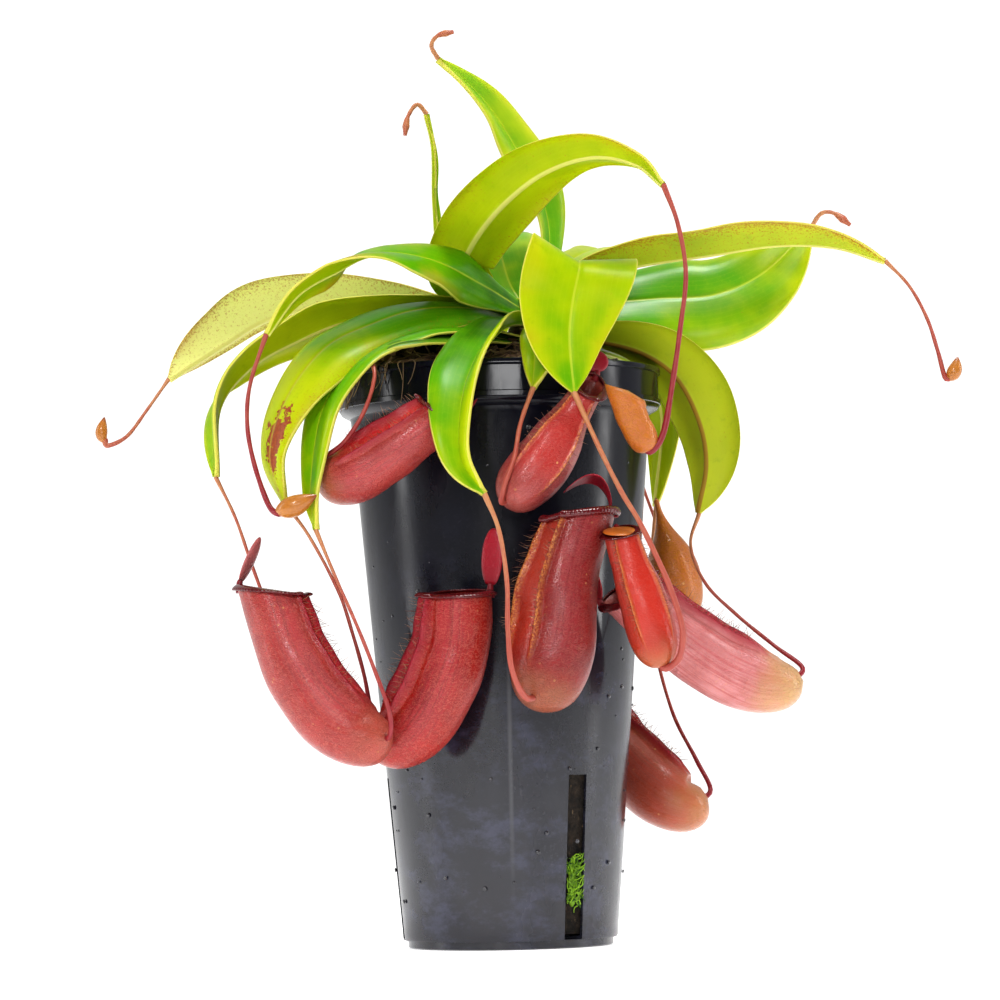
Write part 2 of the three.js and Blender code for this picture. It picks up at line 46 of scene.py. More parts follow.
# ---------------------------------------------------------------- floor, light and camera
# The plant stands on a plain pale floor in a white studio tent, which lights it softly from all
# round. Soft boxes at the sides, overhead and round the camera give the gloss its shapes. The
# floor's front edge lies below the camera's view.

lit_place = Vector((0, 0, 0.14))


def studio_light(name, place, size, power):
    lamp = bpy.data.lights.new(name, "AREA")
    lamp.shape = "RECTANGLE"
    lamp.size, lamp.size_y = size
    lamp.energy = power
    holder = bpy.data.objects.new(name, lamp)
    holder.location = place
    holder.rotation_euler = (lit_place - Vector(place)).to_track_quat("-Z", "Y").to_euler()
    scene.collection.objects.link(holder)


studio_light("box_front", (-0.3, -1.0, 0.7), (0.22, 0.22), 3.6)
studio_light("box_left", (-0.95, -0.1, 0.35), (0.16, 0.9), 2.2)
studio_light("box_right", (0.95, -0.05, 0.35), (0.16, 0.9), 2.7)
studio_light("box_overhead", (0.15, -0.15, 1.1), (0.3, 0.3), 6)
studio_light("box_beside_camera", (-0.25, -1.25, 0.2), (0.08, 0.5), 0.5)
studio_light("box_above_camera", (0.1, -1.3, 0.3), (0.46, 0.12), 2.0)
scene.view_settings.view_transform = "Standard"
scene.view_settings.look = "Medium High Contrast"

lens = bpy.data.cameras.new("camera")
lens.lens = 151.9
lens.sensor_width = 36
camera = bpy.data.objects.new("camera", lens)
tilt, roll = math.radians(93.53), math.radians(-1.2)
aim = Matrix.Rotation(tilt, 4, "X") @ Matrix.Rotation(roll, 4, "Z")
camera.matrix_world = Matrix.Translation((-0.0005, -1.304, 0.057)) @ aim
scene.collection.objects.link(camera)
scene.camera = camera


def put(value, socket):
    """Gives a socket a number, or links a signal, an output or a node's first output to it."""
    value = value.socket if isinstance(value, Signal) else value
    value = value.outputs[0] if isinstance(value, bpy.types.Node) else value
    if isinstance(value, bpy.types.NodeSocket):
        socket.id_data.links.new(value, socket)
    else:
        socket.default_value = value


def add_node(tree, kind, inputs=None, **settings):
    """A new node. settings are its own choices, and inputs are what put() takes."""
    node = tree.nodes.new(kind)
    for key, value in settings.items():
        setattr(node, key, value)
    for key, value in (inputs or {}).items():
        put(value, node.inputs[key])
    return node


class Signal:
    """An output of a node, which goes into sums as a number does."""

    def __init__(self, socket):
        self.socket = socket
        self.tree = socket.id_data

    def sum(self, operation, first, second=0.0):
        terms = {0: first, 1: second}
        node = add_node(self.tree, "ShaderNodeMath", terms, operation=operation)
        return Signal(node.outputs[0])

    def __add__(self, other):
        return self.sum("ADD", self, other)

    def __mul__(self, other):
        return self.sum("MULTIPLY", self, other)

    def __sub__(self, other):
        return self.sum("SUBTRACT", self, other)

    def __rsub__(self, other):
        return self.sum("SUBTRACT", other, self)

    def __abs__(self):
        return self.sum("ABSOLUTE", self)

    __radd__ = __add__

    def clamped(self):
        self.socket.node.use_clamp = True
        return self

    def between(self, low, high):
        """0 below low, 1 above high, smooth between."""
        reach = {"Value": self, "From Min": low, "From Max": high}
        node = add_node(self.tree, "ShaderNodeMapRange", reach, interpolation_type="SMOOTHSTEP")
        return Signal(node.outputs[0])


def paint(amount, under, over):
    """The colour over laid on the colour under, by amount."""
    under, over = ((*value, 1) if isinstance(value, tuple) else value for value in (under, over))
    colours = {0: amount, 6: under, 7: over}
    return add_node(amount.tree, "ShaderNodeMix", colours, data_type="RGBA").outputs[2]


def own_place(tree):
    return add_node(tree, "ShaderNodeTexCoord").outputs["Object"]


def speckle(tree, scale, detail=2.0, rough=0.5, where=None, stretch=None):
    """Noise from 0 to 1 over the piece's own coordinates, in lumps of about 1 / scale metres."""
    place = where or own_place(tree)
    if stretch:
        place = add_node(tree, "ShaderNodeMapping", {"Vector": place, "Scale": stretch})
    lumps = {"Vector": place, "Scale": scale, "Detail": detail, "Roughness": rough}
    return Signal(add_node(tree, "ShaderNodeTexNoise", lumps).outputs["Fac"])


def new_finish(name):
    """A material with one Principled shader, and the tree to build its pattern in."""
    finish = bpy.data.materials.new(name)
    finish.use_nodes = True
    tree = finish.node_tree
    return finish, tree, tree.nodes["Principled BSDF"]


def feed(shader, **inputs):
    """Fills the shader's sockets, with _ for the spaces of their names."""
    for key, value in inputs.items():
        put(value, shader.inputs[key.replace("_", " ")])


def new_piece(name, points, faces, finish, edges=(), **values):
    """A mesh object at the origin. values are numbers that its finish reads, one for each point
    or one for all."""
    mesh = bpy.data.meshes.new(name)
    mesh.from_pydata(np.asarray(points, float).tolist(), edges, faces)
    mesh.polygons.foreach_set("use_smooth", [True] * len(mesh.polygons))
    for key, numbers in values.items():
        numbers = np.ravel(numbers) + np.zeros(len(points))
        mesh.attributes.new(key, "FLOAT", "POINT").data.foreach_set("value", numbers)
    mesh.materials.append(finish)
    mesh.update()
    piece = bpy.data.objects.new(name, mesh)
    scene.collection.objects.link(piece)
    return piece


scene.world = bpy.data.worlds.new("studio_tent")
scene.world.use_nodes = True
tree = scene.world.node_tree
heading = add_node(tree, "ShaderNodeTexCoord").outputs["Generated"]
behind = add_node(tree, "ShaderNodeSeparateXYZ", {0: heading}).outputs["Y"]
wall = add_node(tree, "ShaderNodeMapRange", {
    "Value": behind, "From Min": -0.3, "From Max": 0.7, "To Min": 0.14, "To Max": 0.6})
to_camera = add_node(tree, "ShaderNodeLightPath").outputs["Is Camera Ray"]
seen = add_node(tree, "ShaderNodeMix", {0: to_camera, 2: wall, 3: 1.0})
feed(tree.nodes["Background"], Color=(1, 1, 1, 1), Strength=seen)

floor_white, tree, shader = new_finish("floor_white")
feed(
    shader, Base_Color=paint(speckle(tree, 6), (0.9, 0.9, 0.9), (0.94, 0.94, 0.94)),
    Roughness=0.8, Specular_IOR_Level=0.1, Emission_Color=(1, 1, 1, 1), Emission_Strength=0.62,
)
far, near = 8, -0.65
corners = [(-far, near, 0), (far, near, 0), (far, far, 0), (-far, far, 0)]
floor = new_piece("floor", corners, [(0, 1, 2, 3)], floor_white)


# ---------------------------------------------------------------- pot
# A thin nursery pot blown from black plastic. Its wall flares to a stepped collar with a rolled
# rim, and tall drain slots stand round its foot. It is scuffed and dusty low down, and its lowest
# part is also painted lighter as a painted reflection of the bright floor.

def rings_to_faces(rows, columns, capped=False):
    """Faces of a skin over rows of columns points, the last column joined to the first. A capped
    skin also has a face over its first row and one over its last."""
    first = np.arange(rows - 1)[:, None] * columns
    here = np.arange(columns)[None, :]
    beside = (here + 1) % columns
    corners = [first + here, first + beside, first + columns + beside, first + columns + here]
    faces = np.stack(corners, -1).reshape(-1, 4).tolist()
    if capped:
        faces.append(tuple(range(columns - 1, -1, -1)))
        faces.append(tuple(range((rows - 1) * columns, rows * columns)))
    return faces


def closed_skin(rings, start, end):
    """Points and faces of a skin over rings of points, drawn together to a point at each end."""
    rows, columns = rings.shape[:2]
    faces = rings_to_faces(rows, columns)
    pole, last = rows * columns, (rows - 1) * columns
    for column in range(columns):
        beside = (column + 1) % columns
        faces += [(pole, beside, column), (pole + 1, last + column, last + beside)]
    return np.vstack([rings.reshape(-1, 3), start, end]), faces


def turns(columns):
    """Angles spread evenly over a full turn."""
    return np.linspace(0, 2 * math.pi, columns, endpoint=False)


def turned_skin(profile, columns):
    """Points and faces of a profile of (radius, height) turned about Z, closed on the axis."""
    profile, turn = np.array(profile, float) / 1000, turns(columns)
    radius, height = profile[:, 0, None], profile[:, 1, None]
    rings = np.stack([radius * np.sin(turn), -radius * np.cos(turn), height + 0 * turn], -1)
    return closed_skin(rings, (0, 0, profile[0, 1]), (0, 0, profile[-1, 1]))


def coats(colour, *layers):
    """The colour with layers of (amount, colour) laid on it, one after another."""
    for amount, over in layers:
        colour = paint(amount, colour, over)
    return colour


def bumps(height, distance, strength):
    inputs = {"Height": height, "Distance": distance, "Strength": strength}
    return add_node(height.tree, "ShaderNodeBump", inputs).outputs["Normal"]


pot_plastic, tree, shader = new_finish("pot_plastic")
place = add_node(tree, "ShaderNodeSeparateXYZ", {0: own_place(tree)})
aside, height = Signal(place.outputs["X"]), Signal(place.outputs["Z"])
# A mould seam down the front and back of the wall. It is painted lighter over the middle of its
# height as a painted highlight line.
seam_highlight = abs(aside - 0.001).between(0.001, 0.0001)
seam_highlight = seam_highlight * height.between(0.13, 0.09) * height.between(0.005, 0.05)
lower_half, low_down = height.between(0.14, 0.04), height.between(0.11, 0.0)
streaks = speckle(tree, 60, 6, 0.6, stretch=(1, 1, 0.1))
dust = speckle(tree, 900, 5, 0.7)
patches = speckle(tree, 30, 5, 0.65, stretch=(1, 1, 0.5))
# Patches of dust, thicker on the lower half, plus an even lighter band at the foot that is a
# painted reflection of the floor.
dust_and_floor_glow = dust.between(0.52, 0.75) * patches.between(0.45, 0.7) * (lower_half * 0.25 + 0.05)
dust_and_floor_glow = (dust_and_floor_glow + low_down * 0.09).clamped()
scuffs = speckle(tree, 70, 6, 0.75, stretch=(1, 1, 1.6)).between(0.46, 0.68)
scuffs = scuffs * height.between(0.15, 0.03)
black = coats(
    paint(streaks, (0.002, 0.002, 0.004), (0.01, 0.011, 0.021)),
    (scuffs * 0.75, (0.042, 0.046, 0.085)),
    (seam_highlight * 0.7, (0.07, 0.072, 0.08)),
    (dust_and_floor_glow, (0.18, 0.18, 0.21)),
)
feed(
    shader, Base_Color=black, Roughness=patches.between(0.35, 0.65) * 0.2 + 0.1,
    Normal=bumps(streaks, 0.0004, 0.3), Specular_IOR_Level=lower_half * 0.3 + 0.3,
)

foot_step = [(31, 0.0), (31.5, 0.4), (31.5, 2.4), (32.7, 2.5), (33, 3.0), (33.13, 4.6)]
collar = [(46.07, 160.8), (46.2, 162.4), (46.4, 163), (48.9, 164.4), (49.4, 165.2), (49.5, 165.6),
          (49.9, 165.8), (49.9, 167.2), (49.3, 167.5)]
rim = [(49.2, 175), (49.9, 175.3), (50, 176.2), (49.8, 176.8), (49.45, 177), (49, 176.8),
       (48.9, 176.2)]
inner_wall = [(48.5, 166), (48.3, 165.2), (45.6, 163.4), (45.3, 162.6), (32, 4), (31.6, 3.6)]
points, faces = turned_skin(foot_step + collar + rim + inner_wall, 160)
pot = new_piece("pot_shell", points, faces, pot_plastic)


def slot_cutter(turn):
    """A tall square bar, which leaves a drain slot in the wall."""
    half, low, high = 3.25, 2.7, 52.2
    outer, inner = -41, -27
    outline = [(half, low), (half, high), (-half, high), (-half, low)]
    points = np.array([(x, y, z) for y in (outer, inner) for x, z in outline], float) / 1000
    faces = [(0, 1, 2, 3), (7, 6, 5, 4)]
    faces += [(i, 4 + i, 4 + (i + 1) % 4, (i + 1) % 4) for i in range(4)]
    cutter = new_piece("slot_cutter", points, faces, pot_plastic)
    cutter.data.transform(Matrix.Rotation(math.radians(turn), 4, "Z"))
    return cutter


def plain_mesh(piece):
    """The piece's modifiers made part of its mesh."""
    shaped = piece.evaluated_get(bpy.context.evaluated_depsgraph_get())
    done = bpy.data.meshes.new_from_object(shaped)
    piece.modifiers.clear()
    piece.data = done
    return piece


slot_turns = (35, 155, 275)
cutters = [slot_cutter(turn) for turn in slot_turns]
for cutter in cutters:
    cut = pot.modifiers.new("slot", "BOOLEAN")
    cut.object = cutter
    cut.solver = "EXACT"
plain_mesh(pot)
for cutter in cutters:
    bpy.data.objects.remove(cutter)
pot.data.polygons.foreach_set("use_smooth", [True] * len(pot.data.polygons))
pot.data.set_sharp_from_angle(angle=math.radians(40))
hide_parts("pot")
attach(pot, "root")


# ---------------------------------------------------------------- potting mix
# Loose dark fibre and bark fill the pot and mound up at the stem. Chips and pale roots lie on
# top, and a few roots hang out over the rim on the left.

def new_tree(name, **inputs):
    """A Geometry Nodes tree with named number inputs, and the sockets that give them."""
    tree = bpy.data.node_groups.new(name, "GeometryNodeTree")
    geometry = {"name": "Geometry", "socket_type": "NodeSocketGeometry"}
    tree.interface.new_socket(in_out="INPUT", **geometry)
    for key, usual in inputs.items():
        kind = "NodeSocketInt" if isinstance(usual, int) else "NodeSocketFloat"
        socket = tree.interface.new_socket(key, in_out="INPUT", socket_type=kind)
        socket.default_value = usual
    tree.interface.new_socket(in_out="OUTPUT", **geometry)
    return tree, tree.nodes.new("NodeGroupInput").outputs


def end_tree(tree, grown, finish):
    """The tree's last nodes: copies made real and smooth, with their finish."""
    smooth = add_node(tree, "GeometryNodeSetShadeSmooth", {"Geometry": grown})
    real = add_node(tree, "GeometryNodeRealizeInstances", {"Geometry": smooth})
    done = {"Geometry": real, "Material": finish}
    add_node(tree, "NodeGroupOutput", {0: add_node(tree, "GeometryNodeSetMaterial", done)})


def grow(source, tree, **sizes):
    """The source mesh taken through a tree at these sizes, and made a plain mesh."""
    modifier = source.modifiers.new(tree.name, "NODES")
    modifier.node_group = tree
    for socket in tree.interface.items_tree:
        if socket.in_out == "INPUT" and socket.name in sizes:
            modifier[socket.identifier] = sizes[socket.name]
    return plain_mesh(source)


def strew(tree, finish, spots, template, turn, smallest, largest, seed):
    """The end of a tree that puts copies of a template on spots, each sized at random."""
    sizes = {2: smallest, 3: largest, "Seed": seed}
    scale = add_node(tree, "FunctionNodeRandomValue", sizes, data_type="FLOAT").outputs[1]
    copies = {"Points": spots, "Instance": template, "Rotation": turn, "Scale": scale}
    end_tree(tree, add_node(tree, "GeometryNodeInstanceOnPoints", copies), finish)
    return tree


def scatter_tree(name, template, finish):
    """Copies of a template on the faces of a mesh, turned and sized at random."""
    tree, given = new_tree(name, Density=1000.0, Smallest=0.5, Largest=1.0, Tilt=0.4, Seed=1)
    seed, tilt, sizes = given["Seed"], given["Tilt"], (given["Smallest"], given["Largest"])
    spots = add_node(tree, "GeometryNodeDistributePointsOnFaces", {
        "Mesh": given["Geometry"], "Density": given["Density"], "Seed": seed})
    most = add_node(tree, "ShaderNodeCombineXYZ", {"X": tilt, "Y": tilt, "Z": 3.14})
    least = add_node(tree, "ShaderNodeVectorMath", {0: most, 1: (-1, -1, -1)}, operation="MULTIPLY")
    turn = add_node(tree, "FunctionNodeRandomValue", {
        0: least, 1: most, "Seed": seed}, data_type="FLOAT_VECTOR")
    turned = add_node(tree, "FunctionNodeRotateRotation", {
        0: spots.outputs["Rotation"], 1: turn}, rotation_space="LOCAL")
    return strew(tree, finish, spots, template(tree), turned, *sizes, seed)


def rods_tree(name, finish, sides):
    """Round rods along the edges of a wire mesh, as thick as its points say."""
    tree, given = new_tree(name, Thickness=1.0)
    path = add_node(tree, "GeometryNodeMeshToCurve", {"Mesh": given["Geometry"]})
    thick = add_node(tree, "GeometryNodeInputNamedAttribute", {"Name": "thick"}, data_type="FLOAT")
    scale = Signal(thick.outputs[0]) * given["Thickness"]
    profile = {"Resolution": sides, "Radius": 1.0}
    profile = add_node(tree, "GeometryNodeCurvePrimitiveCircle", profile)
    rod = add_node(tree, "GeometryNodeCurveToMesh", {
        "Curve": path, "Profile Curve": profile, "Scale": scale, "Fill Caps": True})
    end_tree(tree, rod, finish)
    return tree


def wire_piece(name, paths, finish, **values):
    """A mesh of bare edges, one chain for each path."""
    edges, start = [], 0
    for path in paths:
        edges += [(start + i, start + i + 1) for i in range(len(path) - 1)]
        start += len(path)
    return new_piece(name, np.vstack(paths), [], finish, edges, **values)


def rods(name, paths, tree, finish, **values):
    """Rods along paths by a tree of rods_tree, with thick and what else they need in values."""
    return grow(wire_piece(name, paths, finish, **values), tree, Thickness=1.0)


potting, tree, shader = new_finish("potting_fibre")
lumps = speckle(tree, 350, 6, 0.7)
fibres = speckle(tree, 1500, 4, 0.6, stretch=(1, 0.2, 0.3))
brown = paint(lumps.between(0.35, 0.7), (0.004, 0.0035, 0.003), (0.038, 0.026, 0.017))
brown = paint(fibres.between(0.62, 0.75), brown, (0.28, 0.19, 0.11))
feed(shader, Base_Color=brown, Roughness=0.95, Normal=bumps(lumps, 0.0015, 0.9))


mix_level, mix_radius = 0.171, 0.0485
stem_mound, side_heap = 0.0145, 0.007


def mound_height(x, y):
    """The top of the mix, in metres: highest at the stem, with one more heap on the left."""
    share = min(math.hypot(x, y) / mix_radius, 1)
    rise = stem_mound * max(0.0, math.cos(share * math.pi / 2)) ** 0.8
    rise += side_heap * math.exp(-(((x + 0.029) / 0.013) ** 2) - ((y + 0.012) / 0.017) ** 2)
    big, small = Vector((x * 160, y * 160, 3.1)), Vector((x * 500, y * 500, 7.7))
    return mix_level + rise + (0.0016 * noise(big) + 0.0007 * noise(small))


top = 1000 * mix_level
mix_side = [(31, 4.2), (31.4, 4.4), (44.9, 162), (48.2, 166.4), (48.6, top)]
mix_top = [(48.4 * share, top) for share in np.linspace(0.985, 0.02, 34)]
points, faces = turned_skin(mix_side + mix_top, 128)
for point in points:
    if point[2] > mix_level - 0.0005:
        point[2] = mound_height(point[0], point[1])
mix = new_piece("potting_mix_body", points, faces, potting)
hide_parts("potting_mix")


def tinted_finish(name, dark, pale, roughness):
    """A finish whose colour differs from one loose part of a mesh to the next, and the tree,
    shader and tint it is made with."""
    finish, tree, shader = new_finish(name)
    island = Signal(add_node(tree, "ShaderNodeNewGeometry").outputs["Random Per Island"])
    tint = paint(island, dark, pale)
    feed(shader, Base_Color=tint, Roughness=roughness)
    return finish, tree, shader, tint


chip_brown, tree, shader, tint = tinted_finish(
    "bark_chips", (0.03, 0.016, 0.01), (0.22, 0.13, 0.07), 0.9)
streak = speckle(tree, 1200, 3, 0.6, stretch=(0.2, 1, 1)).between(0.4, 0.8)
feed(shader, Base_Color=paint(streak, tint, (0.3, 0.2, 0.12)))


def chip(tree):
    return add_node(tree, "GeometryNodeMeshCube", {"Size": (0.0062, 0.0026, 0.0012)})


on_top = [face for face in faces if len(face) == 4
          and min(points[i][2] for i in face) > mix_level - 0.0008
          and np.hypot(*points[face[0]][:2]) < 0.044]
ground = new_piece("bark_chips", points, on_top, chip_brown)
chips_tree = scatter_tree("chips_on_mix", chip, chip_brown)
chips = grow(ground, chips_tree, Density=110000.0, Smallest=0.35, Largest=1.1, Tilt=0.5)
chips.data.shade_flat()


def read_rows(at, marks, rows):
    """What rows that stand at these marks come to at the places in at."""
    return np.stack([np.interp(at, marks, column) for column in rows.T], 1)


def unit(vectors):
    return vectors / np.linalg.norm(vectors, axis=-1, keepdims=True)


def gone_at(points):
    """How far along a chain of points each of them is."""
    return np.concatenate([[0], np.cumsum(np.linalg.norm(np.diff(points, axis=0), axis=1))])


def path_points(route, count):
    """Places evenly spaced on the smooth path through the route's points, in metres, and its
    direction at each."""
    bare = np.array(route, float) / 1000
    p = np.vstack([2 * bare[0] - bare[1], bare, 2 * bare[-1] - bare[-2]])
    t = np.linspace(0, 1, 48, endpoint=False)[:, None]
    fine = []
    for i in range(1, len(p) - 2):
        leave, arrive = (p[i + 1] - p[i - 1]) / 2, (p[i + 2] - p[i]) / 2
        square = 3 * (p[i + 1] - p[i]) - 2 * leave - arrive
        cube = 2 * (p[i] - p[i + 1]) + leave + arrive
        fine.append(p[i] + leave * t + square * t**2 + cube * t**3)
    fine = np.vstack(fine + [p[-2][None]])
    gone = gone_at(fine)
    places = read_rows(np.linspace(0, gone[-1], count), gone, fine)
    return places, unit(np.gradient(places, axis=0))


root_tan = tinted_finish("root_fibre", (0.07, 0.035, 0.018), (0.42, 0.3, 0.17), 0.85)[0]
chance = np.random.default_rng(7)
lying_roots, hanging_roots = 150, 28
root_spread, rim_inside = 0.047, 0.0478
roots, thickness = [], []
for _ in range(lying_roots):
    bearing = chance.uniform(0, 2 * math.pi)
    reach = root_spread * math.sqrt(chance.uniform(0.02, 1))
    heading, bend = chance.uniform(0, 2 * math.pi), chance.normal(0, 30)
    x, y = reach * math.cos(bearing), reach * math.sin(bearing)
    length = chance.uniform(0.008, 0.026)
    chain, last = [], 13
    for step in range(last + 1):
        if math.hypot(x, y) > rim_inside:
            break
        lift = 0.0004 + 0.0012 * math.sin(step / last * math.pi) * chance.uniform(0.5, 1)
        chain.append((x, y, mound_height(x, y) + lift))
        heading += bend * length / last + chance.normal(0, 0.25)
        x += math.cos(heading) * length / last
        y += math.sin(heading) * length / last
    if len(chain) > 3:
        roots.append(np.array(chain))
        thickness.append(np.full(len(chain), chance.uniform(0.00012, 0.0004)))
rim_top = 176.6
for _ in range(hanging_roots):
    turn = math.radians(chance.uniform(-75, -30))
    hang = chance.uniform(0.002, 0.012)
    outline = [(46.5, 173), (48.6, rim_top), (49.6, 177.6), (50.4, rim_top),
               (50.5, rim_top - 600 * hang), (50.4 + chance.uniform(0, 1.5), rim_top - 1000 * hang)]
    chain = []
    for radius, height in outline:
        turn += chance.normal(0, 0.035)
        chain.append((radius * math.sin(turn), -radius * math.cos(turn), height))
    roots.append(path_points(chain, 16)[0])
    thickness.append(np.linspace(0.00026, 0.00012, 16))
root_rods = rods_tree("roots", root_tan, 5)
thick = np.concatenate(thickness)
surface_roots = rods("surface_roots", roots, root_rods, root_tan, thick=thick)

for piece in (mix, chips, surface_roots):
    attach(piece, "root")


# ---------------------------------------------------------------- stem
# One short stem, woody and green-brown, ringed by the scars of old leaves. The blades clasp its
# upper part, and its lower end stands in the mix.

stem_bark, tree, shader = new_finish("stem_bark")
rough = speckle(tree, 700, 5, 0.65, stretch=(1, 1, 0.4))
old = paint(rough.between(0.3, 0.7), (0.16, 0.17, 0.03), (0.16, 0.08, 0.035))
feed(shader, Base_Color=old, Roughness=0.7, Normal=bumps(rough, 0.0008, 0.7))
places, _ = path_points([(5, 2, 171), (6.5, 1, 184), (9, 2, 196), (9, 3, 201)], 40)
height = np.linspace(0, 1, 40)
thick = 0.0042 * (1 + 0.08 * np.sin(height * 34)) * np.sqrt(np.minimum(1, (1.03 - height) * 6))
stem_rod = rods_tree("stem_rod", stem_bark, 20)
stem = rods("stem_shoot", [places], stem_rod, stem_bark, thick=thick)
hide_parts("main_stem")
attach(stem, "root")


# ---------------------------------------------------------------- leaf blades
# Each leaf starts as a waxy lance-shaped blade, thin and a little folded along a stout midrib,
# with a thin pale margin. Faint long veins run beside the midrib. Old ones blush and spot.

def value_of(tree, name):
    """The numbers of that name that the piece gives its points."""
    return Signal(add_node(tree, "ShaderNodeAttribute", attribute_name=name).outputs["Fac"])


leaf_wax, tree, shader = new_finish("leaf_wax")
across, along, reach, under, rust, blotch = (
    value_of(tree, name) for name in ("across", "along", "reach", "under", "rust", "blotch"))
edge = abs(across)
cloud = speckle(tree, 45, 3, 0.55)
fine = speckle(tree, 1100, 4, 0.6)
drift = (cloud - 0.5) * 0.9 + edge.between(0.45, 1.0) * 0.22
tone = (value_of(tree, "tone") + drift).clamped()
upper = paint(tone.between(0.0, 0.5), (0.014, 0.1, 0.001), (0.1, 0.35, 0.001))
upper = paint(tone.between(0.45, 1.0), upper, (0.46, 0.55, 0.002))
lower = paint(tone, (0.03, 0.17, 0.001), (0.48, 0.56, 0.005))
shaded = speckle(tree, 240, 5, 0.7).between(0.54, 0.74)
vein_place = add_node(tree, "ShaderNodeCombineXYZ", {0: reach * 0.14, 1: along})
veins = {"Vector": vein_place, "Scale": 1.4, "Distortion": 0.5, "Detail": 2.0}
veins = add_node(tree, "ShaderNodeTexWave", veins, bands_direction="X").outputs["Fac"]
spots = (speckle(tree, 1500, 4, 0.75) + value_of(tree, "spots") * 0.12).between(0.64, 0.76)
ragged = ((speckle(tree, 230, 5, 0.7) - 0.5) * 3.2 + blotch).between(0.5, 0.62)
rib_colour = paint(under, (0.6, 0.66, 0.05), (0.72, 0.68, 0.2))
green = coats(
    paint(under, upper, lower),
    (shaded * 0.22, (0.08, 0.24, 0.001)),
    (value_of(tree, "pale"), (0.86, 0.85, 0.3)),
    (Signal(veins).between(0.8, 1.0) * 0.05, (0.55, 0.66, 0.05)),
    (fine.between(0.5, 0.75) * 0.12, (0.5, 0.6, 0.02)),
    (value_of(tree, "blush") * cloud.between(0.38, 0.7), (0.46, 0.13, 0.03)),
    (spots * 0.7, (0.4, 0.13, 0.02)),
    (ragged * blotch.between(0.05, 0.3), paint(fine, (0.12, 0.02, 0.01), (0.5, 0.12, 0.03))),
    (reach.between(0.6, 0.2) * (under * 0.3 + 0.5), paint(rust, rib_colour, (0.33, 0.1, 0.02))),
    (edge.between(0.972, 0.995) * 0.8, (0.74, 0.68, 0.14)),
)
feed(
    shader, Base_Color=green, Normal=bumps(fine, 0.00006, 0.2), Roughness=fine * 0.16 + 0.24,
    Specular_IOR_Level=(0.24 - under * 0.16) * value_of(tree, "shine"), Subsurface_Weight=0.08,
    Subsurface_Radius=(0.4, 1.0, 0.05), Subsurface_Scale=0.002,
)

blade_columns = np.array([0, 0.025, 0.06, 0.11, 0.2, 0.32, 0.45, 0.58, 0.7, 0.81, 0.9, 0.96, 1])
blade_columns = np.concatenate([-blade_columns[:0:-1], blade_columns])
# The relief at the midrib, half the thickness at the edge, and what the midrib adds to it, in
# metres.
valley_round, edge_half, rib_half = 0.0012, 0.00032, 0.0002
groove_deep, groove_wide = 0.00035, 0.0007
keel_deep, keel_wide = 0.0008, 0.0006
blade_tips = {}


def frames_along(route, hints, count):
    """Places, directions, upper sides and right-hand sides along a route, and how far along it
    they are. The upper side looks as near to the hint as the direction lets it."""
    places, ahead = path_points(route, count)
    share = np.linspace(0, 1, count)
    up = read_rows(share, np.linspace(0, 1, len(hints)), np.array(hints, float))
    up = unit(up - (up * ahead).sum(1, keepdims=True) * ahead)
    return places, ahead, up, np.cross(ahead, up), share


def both_sides(field):
    """A field of the upper side, followed by the same from right to left for the underside."""
    return np.concatenate([field, field[:, ::-1]], 1)


